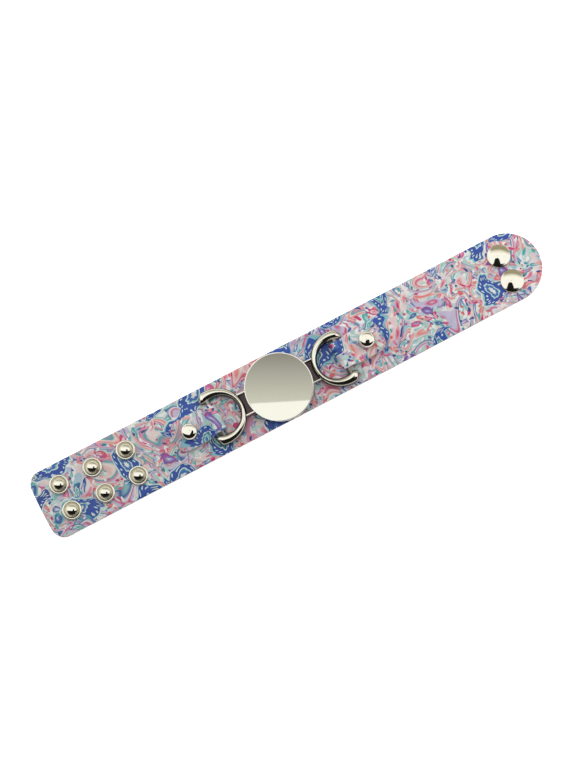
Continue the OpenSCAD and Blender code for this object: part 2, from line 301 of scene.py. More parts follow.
class Print:
    """The generic all-over print: drops, leaves and ribbons in blue, pink and mint on a pale ground."""

    # The ground's patches, the length over which the whole print is pulled about, and how far it is pulled.
    PATCH_MM = 2.2
    DRIFT_MM = 12.0
    PULL_MM = 9.0
    # The length over which the ribbons turn, how many lie side by side, how wide they are, and the places
    # where they break off.
    RIBBON_FLOW_MM = 24.0
    RIBBON_COUNT = 10.0
    RIBBON_WIDTH = 0.58
    RIBBON_BREAK_MM = 13.0
    RIBBON_BREAK = 0.43
    # A ribbon's number times this, without its whole part, picks its colourway, so that neighbours differ.
    RIBBON_STEP = 0.377

    GROUND = ((0.0, "#e2e2ec"), (0.18, "#bfe2dc"), (0.34, "#f5e9ee"), (0.5, "#b6d4e8"),
              (0.6, "#fbfcfd"), (0.82, "#d6cfe8"), (0.92, "#f7e0da"))
    RIBBONS = (
        ((0.0, "#f8dfe6"), (0.09, "#e2487a"), (0.19, "#f9e6ea"), (0.29, "#f08a80"), (0.43, "#f6f3fa"),
         (0.5, "#8ad3d0")),
        ((0.0, "#9bd8d4"), (0.1, "#2a52ae"), (0.27, "#f6f9fa"), (0.35, "#d94486"), (0.47, "#d6cdec")),
        ((0.0, "#fbecee"), (0.1, "#f0807a"), (0.24, "#fdeae8"), (0.33, "#3fabb8"), (0.48, "#e79ab8")))
    DABS = Motif(spacing_mm=2.0, size_mm=1.0, slim=0.6, curl=0.6, keep=0.4, shift_mm=(5.0, 1.0), colourways=(
        ((0.0, "#2c52a8"),), ((0.0, "#dd4a7e"),), ((0.0, "#fdfefe"),), ((0.0, "#2b93a8"),),
        ((0.0, "#f28c78"),), ((0.0, "#dff3ee"),), ((0.0, "#fbdfe2"),)))
    SPECKS = Motif(spacing_mm=3.0, size_mm=0.75, slim=0.7, curl=0.5, keep=0.45, shift_mm=(8.0, 6.0),
                   stray=2.0, colourways=(
        ((0.0, "#ffffff"),), ((0.0, "#22469a"),), ((0.0, "#ec6a72"),), ((0.0, "#45b2ba"),),
        ((0.0, "#fdfeff"),), ((0.0, "#da3a7c"),)))
    STROKES = Motif(spacing_mm=3.5, size_mm=2.8, slim=0.32, curl=1.0, keep=0.75, shift_mm=(11.0, 2.0),
                    stray=0.5, wash=True, colourways=(
        ((0.0, "#fad2d8"), (0.6, "#ee727c")),
        ((0.0, "#da3676"), (0.7, "#f3a9bd")),
        ((0.0, "#cdeee8"), (0.7, "#4fb4ba")),
        ((0.0, "#2850a8"), (0.75, "#a9cbe4")),
        ((0.0, "#ece9f2"), (0.8, "#9480c8")),
        ((0.0, "#fcfcfd"), (0.9, "#9fd8d6")),
        ((0.0, "#f6c6dc"), (0.6, "#e05a9a")),
        ((0.0, "#ffffff"), (0.7, "#3f6fbe"))))
    LEAVES = Motif(spacing_mm=8.5, size_mm=3.4, slim=0.46, curl=1.2, keep=0.4, shift_mm=(4.0, 9.0),
                   stray=0.9, wash=True, colourways=(
        ((0.0, "#f6d0d6"), (0.3, "#ec7a84"), (0.78, "#f8eaee")),
        ((0.0, "#e4f2f5"), (0.25, "#4f7ec6"), (0.5, "#2450ab"), (0.82, "#98d6d2")),
        ((0.0, "#da4a80"), (0.5, "#f8e4ec"), (0.62, "#d64c82")),
        ((0.0, "#c2ecea"), (0.3, "#42acb6"), (0.6, "#eaf6f6"), (0.75, "#2a86ac")),
        ((0.0, "#f4f6f8"), (0.3, "#a292da"), (0.7, "#8656b0"))))
    DROPS = Motif(spacing_mm=21.0, size_mm=9.0, slim=0.56, curl=1.3, keep=0.7, shift_mm=(3.0, 7.0),
                  stray=1.4, scallops=4, beads=19, colourways=(
        ((0.0, "#f6f9f9"), (0.12, "#3f70c2"), (0.3, "#82d0ce"), (0.36, "#e9f3f7"), (0.42, "#204fb4"),
         (0.88, "#98d8d4"), (0.94, "#f0f6f8")),
        ((0.0, "#d6487f"), (0.14, "#f7eff4"), (0.22, "#4479c8"), (0.4, "#1f4aa8"), (0.9, "#e2eff4")),
        ((0.0, "#3a68bc"), (0.12, "#9edcd6"), (0.28, "#2b86a6"), (0.4, "#ecf6f8"), (0.46, "#2250b6"),
         (0.9, "#8ccbd8"))))

    @classmethod
    def colour(cls, tree: bpy.types.NodeTree, place: bpy.types.NodeSocket) -> bpy.types.NodeSocket:
        """Prints every layer, from the ground up.

        Args:
            tree: The node tree.
            place: The place on the leather, in millimetres.

        Returns:
            The socket with the colour.
        """
        drift = add_node(tree, "TexNoise", {"Vector": place, "Scale": 1 / cls.DRIFT_MM, "Detail": 1.5},
                         "Color", noise_dimensions="2D")
        pull = add_node(tree, "VectorMath", [drift, (-0.5, -0.5, -0.5)], operation="ADD")
        warp = add_node(tree, "VectorMath", [pull, (cls.PULL_MM, cls.PULL_MM, 0.0), place],
                        operation="MULTIPLY_ADD")
        patches = add_node(tree, "TexVoronoi", {"Vector": warp, "Scale": 1 / cls.PATCH_MM}, "Color",
                           voronoi_dimensions="2D")
        colour = inked(tree, add_node(tree, "SeparateColor", [patches]), [cls.GROUND])
        colour = cls.DABS.printed(tree, warp, colour)
        colour = cls.STROKES.printed(tree, warp, colour)
        colour = cls.ribbons(tree, place, colour)
        colour = cls.LEAVES.printed(tree, warp, colour)
        colour = cls.SPECKS.printed(tree, warp, colour)
        return cls.DROPS.printed(tree, warp, colour)

    @classmethod
    def ribbons(cls, tree: bpy.types.NodeTree, place: bpy.types.NodeSocket,
                below: bpy.types.NodeSocket) -> bpy.types.NodeSocket:
        """Prints flowing ribbons of uneven width, each in washes that run along it.

        Args:
            tree: The node tree.
            place: The place on the leather, in millimetres.
            below: The colour underneath.

        Returns:
            The socket with the ribbons on it.
        """
        flow = add_node(tree, "TexNoise", {"Vector": place, "Scale": 1 / cls.RIBBON_FLOW_MM, "Detail": 1.2,
                                           "Roughness": 0.4, "Distortion": 0.8}, noise_dimensions="2D")
        height = add_node(tree, "Math", [flow, cls.RIBBON_COUNT], operation="MULTIPLY")
        within = add_node(tree, "Math", [height], operation="FRACT")
        number = add_node(tree, "Math", [height], operation="FLOOR")
        number = add_node(tree, "Math", [number, cls.RIBBON_STEP], operation="MULTIPLY")
        number = add_node(tree, "Math", [number], operation="FRACT")
        colour = inked(tree, within, cls.RIBBONS, number, True)
        shown = add_node(tree, "Math", [within, cls.RIBBON_WIDTH], operation="LESS_THAN")
        whole = add_node(tree, "TexNoise", {"Vector": place, "Scale": 1 / cls.RIBBON_BREAK_MM},
                         noise_dimensions="2D")
        whole = add_node(tree, "Math", [whole, cls.RIBBON_BREAK], operation="GREATER_THAN")
        shown = add_node(tree, "Math", [shown, whole], operation="MULTIPLY")
        return add_node(tree, "Mix", {"Factor": shown, BELOW: below, ABOVE: colour}, MIXED, data_type="RGBA")


@dataclass(frozen=True)
class PrintedLeather:
    """Split cowhide with a printed and sealed polyurethane face.

    The sealed face gives the eye a soft gloss over a fine pebble grain, and the print lies under it.

    Attributes:
        name: The material's name.
        mapped: True where the print follows the piece's own UV map, in decimetres.
        shift_mm: Moves the print, because each piece is cut from another place of the hide.
        turn: Turns the print.
    """

    name: str
    mapped: bool = False
    shift_mm: tuple[float, float] = (0.0, 0.0)
    turn: float = 0.0

    # Where the seal is smooth, and in the creases.
    ROUGHNESS = (0.31, 0.46)
    IOR = 1.5
    GRAIN_MM = 0.55
    # The real grain is about 0.02 mm deep, and it is drawn deeper to show at this size.
    GRAIN_DEPTH_MM = 0.045
    CREASE_MM = 1.8
    # How deep the creases are beside the grain.
    CREASE_SHARE = 1.4
    # The print is a little uneven, and this is how much of its colour stays where it is thin and full.
    FADE_MM = 3.0
    THIN_INK = 0.78
    FULL_INK = 0.92

    def make(self) -> bpy.types.Material:
        """Makes the material.

        Returns:
            The material.
        """
        material, tree, shader = new_material(self.name)
        raw = add_node(tree, "TexCoord", output="UV" if self.mapped else "Object")
        scale = MM_IN_DM if self.mapped else MM_IN_M
        place = add_node(tree, "Mapping", {"Vector": raw, "Scale": (scale, scale, scale),
                                           "Location": (*self.shift_mm, 0), "Rotation": (0, 0, self.turn)})
        fade = add_node(tree, "TexNoise", {"Vector": place, "Scale": 1 / self.FADE_MM, "Detail": 4.0})
        faded = add_node(tree, "MapRange", {"Value": fade, "From Min": 0.3, "From Max": 0.7,
                                            "To Min": self.THIN_INK, "To Max": self.FULL_INK})
        toned = add_node(tree, "VectorMath", {0: Print.colour(tree, place), "Scale": faded},
                         operation="SCALE")
        pebbles = add_node(tree, "TexVoronoi", {"Vector": place, "Scale": 1 / self.GRAIN_MM}, "Distance",
                           feature="SMOOTH_F1")
        creases = add_node(tree, "TexNoise", {"Vector": place, "Scale": 1 / self.CREASE_MM, "Detail": 5.0})
        relief = add_node(tree, "Math", [creases, self.CREASE_SHARE, pebbles], operation="MULTIPLY_ADD")
        bump = add_node(tree, "Bump", {"Height": relief, "Strength": 0.5,
                                       "Distance": self.GRAIN_DEPTH_MM * MM})
        gloss = add_node(tree, "MapRange", {"Value": creases, "From Min": 0.3, "From Max": 0.7,
                                            "To Min": self.ROUGHNESS[0], "To Max": self.ROUGHNESS[1]})
        feed(shader, {"Base Color": toned, "Normal": bump, "Roughness": gloss, "IOR": self.IOR})
        return material


@dataclass(frozen=True)
class RawLeather:
    """Leather that no print covers: the fibrous cut edge, or the napped back.

    Loose fibres give the eye a dry, matt, slightly mottled surface.

    Attributes:
        name: The material's name.
        light: Hex colour of the raised fibres.
        dark: Hex colour between the fibres.
        fibre_mm: Size of a tuft of fibres.
    """

    name: str
    light: str
    dark: str
    fibre_mm: float

    BLOTCH_MM = 6.0
    # How strong the blotches are beside the nap.
    BLOTCH_SHARE = 0.6
    NAP_DEPTH_MM = 0.06

    def make(self) -> bpy.types.Material:
        """Makes the material.

        Returns:
            The material.
        """
        material, tree, shader = new_material(self.name)
        place = add_node(tree, "Mapping", {"Vector": add_node(tree, "TexCoord", output="Object"),
                                           "Scale": (MM_IN_M, MM_IN_M, MM_IN_M)})
        nap = add_node(tree, "TexNoise", {"Vector": place, "Scale": 1 / self.fibre_mm, "Detail": 6.0,
                                          "Roughness": 0.65})
        blotch = add_node(tree, "TexNoise", {"Vector": place, "Scale": 1 / self.BLOTCH_MM, "Detail": 2.0})
        both = add_node(tree, "Math", [blotch, self.BLOTCH_SHARE, nap], operation="MULTIPLY_ADD")
        raised = add_node(tree, "MapRange", {"Value": both, "From Min": 0.5, "From Max": 1.1})
        colour = add_node(tree, "Mix", {"Factor": raised, BELOW: self.dark, ABOVE: self.light}, MIXED,
                          data_type="RGBA")
        bump = add_node(tree, "Bump", {"Height": nap, "Strength": 0.6, "Distance": self.NAP_DEPTH_MM * MM})
        feed(shader, {"Base Color": colour, "Normal": bump, "Roughness": 0.9})
        return material


@dataclass(frozen=True)
class Nickel:
    """Bright nickel plate over brass or a zinc casting.

    Plating keeps the polish of what is under it: clear reflections, slightly warm, with a faint haze
    of handling marks.

    Attributes:
        name: The material's name.
        colour: Hex colour of the metal's reflection.
        roughness: From 0, a mirror, to 1.
        haze: How much the handling marks roughen it.
        mottle: How much they darken it.
        sides: Hex colour of painted shade on its steep sides, or empty where no shade is painted.
        film: Share of the light that a film of wax and dust on it scatters.
    """

    name: str
    colour: str = "#dedbd0"
    roughness: float = 0.05
    haze: float = 0.08
    mottle: float = 0.05
    sides: str = ""
    film: float = 0.0

    MARKS_PER_MM = 0.6

    def make(self) -> bpy.types.Material:
        """Makes the material.

        Returns:
            The material.
        """
        material, tree, shader = new_material(self.name)
        place = add_node(tree, "Mapping", {"Vector": add_node(tree, "TexCoord", output="Object"),
                                           "Scale": (MM_IN_M, MM_IN_M, MM_IN_M)})
        marks = add_node(tree, "TexNoise", {"Vector": place, "Scale": self.MARKS_PER_MM, "Detail": 6.0,
                                            "Roughness": 0.6})
        rough = add_node(tree, "MapRange", {"Value": marks, "From Min": 0.45, "From Max": 0.75,
                                            "To Min": self.roughness, "To Max": self.roughness + self.haze})
        tint = add_node(tree, "MapRange", {"Value": marks, "From Min": 0.35, "From Max": 0.7,
                                           "To Min": 1 - self.mottle, "To Max": 1.0})
        # Painted shade: by the steep attribute, the steep sides take the dark sides colour in place of the
        # metal's.
        steep = add_node(tree, "Attribute", output="Fac", attribute_name="steep") if self.sides else 0.0
        colour = add_node(tree, "Mix", {"Factor": steep, BELOW: self.colour,
                                        ABOVE: self.sides or self.colour}, MIXED, data_type="RGBA")
        toned = add_node(tree, "VectorMath", {0: colour, "Scale": tint}, operation="SCALE")
        feed(shader, {"Base Color": toned, "Roughness": rough, "Metallic": 1 - self.film})
        return material


# The leather has a soft gloss on its face, a thin pale line along its cut edge, and a dull, soft back.
STRAP_FACE = PrintedLeather("Printed polyurethane leather, strap")
TAB_FACES = {
    Side.LEFT: PrintedLeather("Printed polyurethane leather, left tab", mapped=True, shift_mm=(61.0, 23.0),
                              turn=0.5),
    Side.RIGHT: PrintedLeather("Printed polyurethane leather, right tab", mapped=True, shift_mm=(-37.0, 88.0),
                               turn=2.2),
}
CUT_EDGE = RawLeather("Cut leather edge, sealed pale", light="#efe9ea", dark="#d9cfd2", fibre_mm=0.5)
NAPPED_BACK = RawLeather("Napped leather back", light="#d9d2c6", dark="#b9b0a3", fibre_mm=0.35)
# The casting is bright on top with painted shade in brown on its steep sides; its recess is dull and darkened
# with painted shade under the disc, and its bars are satin grey, darkened with painted shade.
CASTING = Nickel("Polished nickel on zinc casting, sides left dark", sides="#40372f")
# The recess under the disc is unpolished, and its dark colour is painted shade.
SHADED_RECESS = Nickel("Unpolished recess of the casting, tarnished", "#4b4043", roughness=0.34, haze=0.2)
# The bars are tumbled to a satin finish, and their darker grey is painted shade between the ring's ends.
SHADED_BAR = Nickel("Tumbled nickel on the bars", "#8d8881", roughness=0.32, haze=0.15)
# The disc is a clear mirror under a thin film, which keeps it grey where it mirrors something black.
DISC_FACE = Nickel("Mirror polished nickel", "#e2e1da", roughness=0.01, haze=0.004, mottle=0.008, film=0.05)
# The snaps and rivets are bright, a little blurred where the press left them rough, and satin underneath.
SNAP_FACE = Nickel("Bright nickel on pressed brass")
SNAP_GROOVE = Nickel("Dull nickel at the foot of a stud", "#c9c4b2", roughness=0.2, haze=0.12)
SNAP_BACK = Nickel("Barrel nickel on pressed brass", "#c9c6bb", roughness=0.22, haze=0.14)

# The casting's painted shade on its steep sides: there is none where the normal rises by the first share or
# more, and it is full where the normal rises by the second share or less.
NO_SHADE_RISE = 0.82
FULL_SHADE_RISE = 0.5


def deselect() -> None:
    """Leaves edit mode and deselects everything."""
    if bpy.context.mode != "OBJECT":
        bpy.ops.object.mode_set(mode="OBJECT")
    bpy.ops.object.select_all(action="DESELECT")


def activate(piece: bpy.types.Object) -> None:
    """Makes a piece the only selected and active object.

    Args:
        piece: The object.
    """
    deselect()
    piece.select_set(True)
    bpy.context.view_layer.objects.active = piece


def join(piece: bpy.types.Object, other: bpy.types.Object) -> None:
    """Joins another piece to a piece, which keeps its name and its first material slots.

    Args:
        piece: The object that stays.
        other: The object that becomes part of it.
    """
    deselect()
    other.select_set(True)
    piece.select_set(True)
    bpy.context.view_layer.objects.active = piece
    bpy.ops.object.join()


def edit(piece: bpy.types.Object, kind: str = "VERT") -> None:
    """Opens a piece in edit mode with everything selected.

    Args:
        piece: The object.
        kind: VERT, EDGE or FACE, what the selection works on.
    """
    activate(piece)
    bpy.ops.object.mode_set(mode="EDIT")
    bpy.ops.mesh.select_mode(type=kind)
    bpy.ops.mesh.select_all(action="SELECT")


def choose(kind: str, test: Test) -> None:
    """Selects what passes a test in the piece that is open in edit mode.

    Args:
        kind: VERT, EDGE or FACE.
        test: Takes a vertex, edge or face of the mesh.
    """
    bpy.ops.mesh.select_mode(type=kind)
    bpy.ops.mesh.select_all(action="DESELECT")
    mesh = bmesh.from_edit_mesh(bpy.context.object.data)
    mesh.normal_update()
    found = [e for e in {"VERT": mesh.verts, "EDGE": mesh.edges, "FACE": mesh.faces}[kind] if test(e)]
    for element in found:
        element.select_set(True)
    mesh.select_flush_mode()
    bmesh.update_edit_mesh(bpy.context.object.data)


def move(shift: Sequence[float]) -> None:
    """Moves what is selected in edit mode.

    Args:
        shift: How far along X, Y and Z.
    """
    bpy.ops.transform.translate(value=shift)


def turned(degrees: float, x: float = 0.0, y: float = 0.0) -> Matrix:
    """A turn about the Z axis, then a move of the origin to X and Y."""
    return Matrix.Translation((x, y, 0)) @ Matrix.Rotation(math.radians(degrees), 4, "Z")


def finish_mesh(piece: bpy.types.Object, name: str, smooth_deg: float = 35.0) -> bpy.types.Object:
    """Merges doubles, turns the faces outwards, drops faces that are there twice, shades smooth and names it.

    Args:
        piece: The object.
        name: The piece's name.
        smooth_deg: Edges sharper than this stay sharp.

    Returns:
        The same object.
    """
    edit(piece)
    bpy.ops.mesh.remove_doubles(threshold=0.002 * MM)
    bpy.ops.mesh.normals_make_consistent(inside=False)
    bpy.ops.object.mode_set(mode="OBJECT")
    piece.data.validate()
    bpy.ops.object.shade_smooth_by_angle(angle=math.radians(smooth_deg))
    piece.name = piece.data.name = name
    return piece


def apply_modifier(piece: bpy.types.Object, kind: str, **settings) -> None:
    """Adds a modifier with its settings and applies it.

    Args:
        piece: The object.
        kind: The modifier's type.
        **settings: Its properties.
    """
    activate(piece)
    modifier = piece.modifiers.new(kind.title(), kind)
    for name, value in settings.items():
        setattr(modifier, name, value)
    bpy.ops.object.modifier_apply(modifier=modifier.name)


def arc(centre: Point, radius: float, start: float, end: float, steps: int) -> list[Point]:
    """Points along an arc in one plane.

    Args:
        centre: The arc's centre.
        radius: Its radius.
        start: Angle of its first point, in degrees.
        end: Angle of its last point, in degrees.
        steps: Number of steps between them.

    Returns:
        The points, first to last.
    """
    angles = [math.radians(start + (end - start) * i / steps) for i in range(steps + 1)]
    return [(centre[0] + radius * math.cos(a), centre[1] + radius * math.sin(a)) for a in angles]


def lathe(name: str, profile: Sequence[Point], steps: int = 72) -> bpy.types.Object:
    """Draws a profile by extruding a point and spins it round the Z axis.

    Args:
        name: The piece's name.
        profile: Radius and height of each point, from the underside round to the top.
        steps: Number of steps in the full turn.

    Returns:
        The turned piece, round the origin.
    """
    deselect()
    bpy.ops.mesh.primitive_plane_add(size=MM)
    piece = bpy.context.object
    edit(piece)
    bpy.ops.mesh.merge(type="CENTER")
    move((profile[0][0], 0, profile[0][1]))
    for (r0, z0), (r1, z1) in zip(profile, profile[1:]):
        bpy.ops.mesh.extrude_region_move(TRANSFORM_OT_translate={"value": (r1 - r0, 0, z1 - z0)})
    bpy.ops.mesh.select_all(action="SELECT")
    bpy.ops.mesh.spin(steps=steps, angle=2 * math.pi, center=(0, 0, 0), axis=(0, 0, 1))
    return finish_mesh(piece, name)


def mark_painted_shade(piece: bpy.types.Object) -> None:
    """Stores how steep the surface is at each vertex, for finishes that paint shade on the steep sides.

    Args:
        piece: The object.
    """
    steep = piece.data.attributes.new("steep", "FLOAT", "POINT")
    for vertex in piece.data.vertices:
        steep.data[vertex.index].value = clamp((NO_SHADE_RISE - vertex.normal.z) / (NO_SHADE_RISE - FULL_SHADE_RISE))


def place_copy(model: bpy.types.Object, name: str, where: Vector) -> bpy.types.Object:
    """Copies a piece with its own mesh and moves the copy's mesh to its place.

    Args:
        model: The piece to copy.
        name: The copy's name.
        where: How far the copy's mesh is moved.

    Returns:
        The copy.
    """
    activate(model)
    bpy.ops.object.duplicate(linked=False)
    copy = bpy.context.object
    copy.data.transform(Matrix.Translation(where))
    copy.name = copy.data.name = name
    return copy


def dress(piece: bpy.types.Object, finishes: Iterable[bpy.types.Material],
          nodes: Sequence[str]) -> bpy.types.Object:
    """Gives a finished piece its materials, its body and the nodes that it stands for.

    Args:
        piece: The object.
        finishes: Its materials, in the order of its material slots.
        nodes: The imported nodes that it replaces.

    Returns:
        The same object.
    """
    for finish in finishes:
        piece.data.materials.append(finish)
    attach(piece, "root")
    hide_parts(*nodes)
    return piece


def drop(piece: bpy.types.Object) -> None:
    """Deletes a piece that was only a model for copies.

    Args:
        piece: The object.
    """
    bpy.data.objects.remove(piece)


def centre_of(node: str) -> Vector:
    """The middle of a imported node's box.

    Args:
        node: The node's name.

    Returns:
        The point, in metres.
    """
    low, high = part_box(node)
    return (low + high) / 2


@dataclass
class Strap:
    """The strap: one strip with a round end, lifted a little where the sockets stand under it.

    Attributes:
        thickness: Thickness of the leather.
        corner: Radius of the corners at the square end.
        bulge: How far the square end bulges out.
        rise_from: Where the strap starts to rise.
        rise_to: Where it lies level again.
        rim: Bevel round both faces.
        cell: Length of one cell of its mesh.
        flat: Share by which the normal of a face rises or falls at least, where it isn't on the cut edge.
    """

    thickness: float = 2.0 * MM
    corner: float = 5.5 * MM
    bulge: float = 0.6 * MM
    rise_from: float = 45 * MM
    rise_to: float = 90 * MM
    rim: float = 0.3 * MM
    cell: float = 1.5 * MM
    flat: float = 0.8

    def build(self) -> Pieces:
        """Builds and dresses the strap.

        Returns:
            The strap.
        """
        low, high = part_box("strap")
        half_l, half_w = high.x, high.y
        deselect()
        bpy.ops.mesh.primitive_plane_add(size=1)
        piece = bpy.context.object
        edit(piece)
        bpy.ops.transform.resize(value=(2 * half_l, 2 * half_w, 1))
        choose("VERT", lambda v: v.co.x > 0)
        bpy.ops.mesh.bevel(offset=half_w, segments=32, affect="VERTICES")
        choose("VERT", lambda v: v.co.x < 0)
        bpy.ops.mesh.bevel(offset=self.corner, segments=10, affect="VERTICES")
        bpy.ops.mesh.select_all(action="SELECT")
        bpy.ops.mesh.remove_doubles(threshold=0.01 * MM)
        bpy.ops.mesh.select_all(action="SELECT")
        move((0, 0, low.z))
        bpy.ops.mesh.extrude_region_move(TRANSFORM_OT_translate={"value": (0, 0, self.thickness)})
        bpy.ops.mesh.select_all(action="SELECT")
        bpy.ops.mesh.normals_make_consistent(inside=False)
        choose("EDGE", self.is_rim)
        bpy.ops.mesh.bevel(offset=self.rim, segments=3, affect="EDGES")
        self.cut_grid(half_l, half_w)
        bpy.ops.object.mode_set(mode="OBJECT")
        self.shape_ends(piece, half_l, half_w, high.z - low.z - self.thickness)
        finish_mesh(piece, "strap_leather", 40)
        for polygon in piece.data.polygons:
            up = polygon.normal.z
            polygon.material_index = 1 if abs(up) <= self.flat else 0 if up > 0 else 2
        return [dress(piece, [STRAP_FACE.make(), CUT_EDGE.make(), NAPPED_BACK.make()],
                      ["strap"])]

    def cut_grid(self, half_l: float, half_w: float) -> None:
        """Cuts the strip into cells, so that it can bend.

        Args:
            half_l: Half the length of the strap.
            half_w: Half its width.
        """
        columns = int(2 * half_l / self.cell)
        rows = int(2 * half_w / self.cell)
        for i in range(1, columns):
            bpy.ops.mesh.select_all(action="SELECT")
            bpy.ops.mesh.bisect(plane_co=(2 * half_l * i / columns - half_l, 0, 0), plane_no=(1, 0, 0))
        for i in range(1, rows):
            bpy.ops.mesh.select_all(action="SELECT")
            bpy.ops.mesh.bisect(plane_co=(0, 2 * half_w * i / rows - half_w, 0), plane_no=(0, 1, 0))

    @staticmethod
    def is_rim(edge: bmesh.types.BMEdge) -> bool:
        """Tells whether an edge lies between the side and a flat face.

        Args:
            edge: An edge of the strap.

        Returns:
            True where it does.
        """
        ups = sorted(abs(f.normal.z) for f in edge.link_faces)
        return len(ups) == 2 and ups[0] < 0.5 < ups[1]

    def shape_ends(self, piece: bpy.types.Object, half_l: float, half_w: float, rise: float) -> None:
        """Lifts the cap end along a smooth curve and bulges the square end.

        Args:
            piece: The strap.
            half_l: Half its length.
            half_w: Half its width.
            rise: How far the cap end is lifted.
        """
        group = piece.vertex_groups.new(name="rise")
        for vertex in piece.data.vertices:
            share = (vertex.co.x - self.rise_from) / (self.rise_to - self.rise_from)
            group.add([vertex.index], ease(share), "REPLACE")
        apply_modifier(piece, "DISPLACE", direction="Z", mid_level=0.0, strength=rise, vertex_group="rise")
        for vertex in piece.data.vertices:
            near_end = clamp((-half_l + self.corner - vertex.co.x) / self.corner)
            vertex.co.x += near_end * self.bulge * (vertex.co.y / half_w) ** 2


@dataclass
class Tab:
    """A tab folded double round a bar, with its two layers a little apart.

    Attributes:
        side: Which end of the centrepiece it holds.
        turn: Its turn about its rivet, in degrees.
        width: Width at the rivet.
        fold_width: Width at the fold.
        layer: Thickness of one layer.
        layer_gap: Gap between the layers.
        eye: Radius of the space round the bar.
        fold_run: How far from the bar the upper layer comes down.
        fold_from_rivet: From the rivet to the fold's tip.
        end_from_rivet: From the rivet to the tab's end.
        corner: Radius of the corners at that end.
        bulge: How far that end bulges out.
        taper: Where the width changes, from the rivet towards the fold.
        rim: Bevel round its faces.
        columns: Cells across the tab.
    """

    side: Side
    turn: float = 0.0
    width: float = 13.6 * MM
    fold_width: float = 12.2 * MM
    layer: float = 1.15 * MM
    layer_gap: float = 0.15 * MM
    eye: float = 1.25 * MM
    fold_run: float = 7 * MM
    fold_from_rivet: float = 14.6 * MM
    end_from_rivet: float = 7.5 * MM
    corner: float = 3.8 * MM
    bulge: float = 0.5 * MM
    taper: tuple[float, float] = (6.1 * MM, 9.1 * MM)
    rim: float = 0.18 * MM
    columns: int = 14

    # Where the rows of its mesh lie: along the bulge and round the corners of its end, on its flat stretch,
    # and where it rises to the fold.
    BULGE_ROWS = (0.04, 0.3, 0.7, 1.0)
    CORNER_ROWS = (15, 30, 45, 60, 75, 90)
    FLAT_ROWS = 5
    FLAT_ROW = 1.4 * MM
    FOLD_ROWS = (0.86, 0.72, 0.58, 0.44, 0.3, 0.15)

    def half_width(self, x: float) -> float:
        """Half the width of the tab.

        Args:
            x: Distance from the rivet, positive to the tab's end.

        Returns:
            The half width there.
        """
        full = self.width / 2
        from_tip = self.end_from_rivet - x
        flat = full - self.corner
        if from_tip < self.bulge:
            bulge_r = (flat ** 2 + self.bulge ** 2) / (2 * self.bulge)
            return math.sqrt(bulge_r ** 2 - (bulge_r - from_tip) ** 2)
        if from_tip < self.bulge + self.corner:
            return flat + math.sqrt(self.corner ** 2 - (self.bulge + self.corner - from_tip) ** 2)
        share = (-x - self.taper[0]) / (self.taper[1] - self.taper[0])
        return full + (self.fold_width / 2 - full) * ease(share)

    def path(self, bottom: float) -> list[Point]:
        """The middle of the folded strip, from the end of its lower layer round to the upper one's.

        Args:
            bottom: Height of the tab's underside.

        Returns:
            Distance from the rivet and height of each row.
        """
        eye_x = -self.fold_from_rivet + self.layer + self.eye
        eye_z = bottom + self.layer + self.eye
        low_z = bottom + self.layer / 2
        high_z = self.upper_face(bottom) - self.layer / 2
        drop_z = eye_z + self.eye + self.layer / 2 - high_z
        rows = [self.end_from_rivet - self.bulge * s for s in self.BULGE_ROWS]
        rows += [self.end_from_rivet - self.bulge - self.corner * (1 - math.cos(math.radians(a)))
                 for a in self.CORNER_ROWS]
        rows += [rows[-1] - i * self.FLAT_ROW for i in range(1, self.FLAT_ROWS + 1)]
        rows += [eye_x + self.fold_run * s for s in self.FOLD_ROWS]
        lower = [(x, low_z) for x in rows]
        fold = arc((eye_x, eye_z), self.eye + self.layer / 2, 270, 90, 16)
        upper = [(x, high_z + drop_z * (1 - ease((x - eye_x) / self.fold_run))) for x in reversed(rows)]
        return lower + fold + upper

    def upper_face(self, bottom: float) -> float:
        """Height of the tab's upper face where it lies flat.

        Args:
            bottom: Height of its underside.

        Returns:
            The height.
        """
        return bottom + 2 * self.layer + self.layer_gap

    def build(self) -> Pieces:
        """Builds and dresses the tab.

        Returns:
            The tab.
        """
        name = self.side.name.lower()
        rivet = centre_of("rivet_" + name)
        rows = self.path(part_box("tab_" + name)[0].z)
        deselect()
        bpy.ops.mesh.primitive_plane_add(size=1)
        piece = bpy.context.object
        edit(piece)
        choose("VERT", lambda v: v.co.x > 0)
        bpy.ops.mesh.delete(type="VERT")
        choose("EDGE", lambda e: True)
        bpy.ops.mesh.subdivide(number_cuts=self.columns - 1)
        choose("VERT", lambda v: True)
        move((0.5 + rows[0][0], 0, rows[0][1]))
        bpy.ops.transform.resize(value=(1, 2 * self.half_width(rows[0][0]), 1))
        for (x0, z0), (x1, z1) in zip(rows, rows[1:]):
            bpy.ops.mesh.extrude_region_move(TRANSFORM_OT_translate={"value": (x1 - x0, 0, z1 - z0)})
            bpy.ops.transform.resize(value=(1, self.half_width(x1) / self.half_width(x0), 1))
        bpy.ops.object.mode_set(mode="OBJECT")
        self.lay_map(piece, rows)
        for finish in (TAB_FACES[self.side], CUT_EDGE, NAPPED_BACK):
            piece.data.materials.append(bpy.data.materials.get(finish.name) or finish.make())
        apply_modifier(piece, "SOLIDIFY", thickness=self.layer, offset=0.0, use_even_offset=True,
                       material_offset=2, material_offset_rim=1)
        apply_modifier(piece, "BEVEL", width=self.rim, segments=2, limit_method="ANGLE",
                       angle_limit=math.radians(60))
        apply_modifier(piece, "SUBSURF", levels=1, render_levels=1)
        piece.data.transform(turned(self.turn + (180 if self.side is Side.LEFT else 0), rivet.x, rivet.y))
        finish_mesh(piece, f"tab_{name}_leather", 50)
        return [dress(piece, [], ["tab_" + name])]

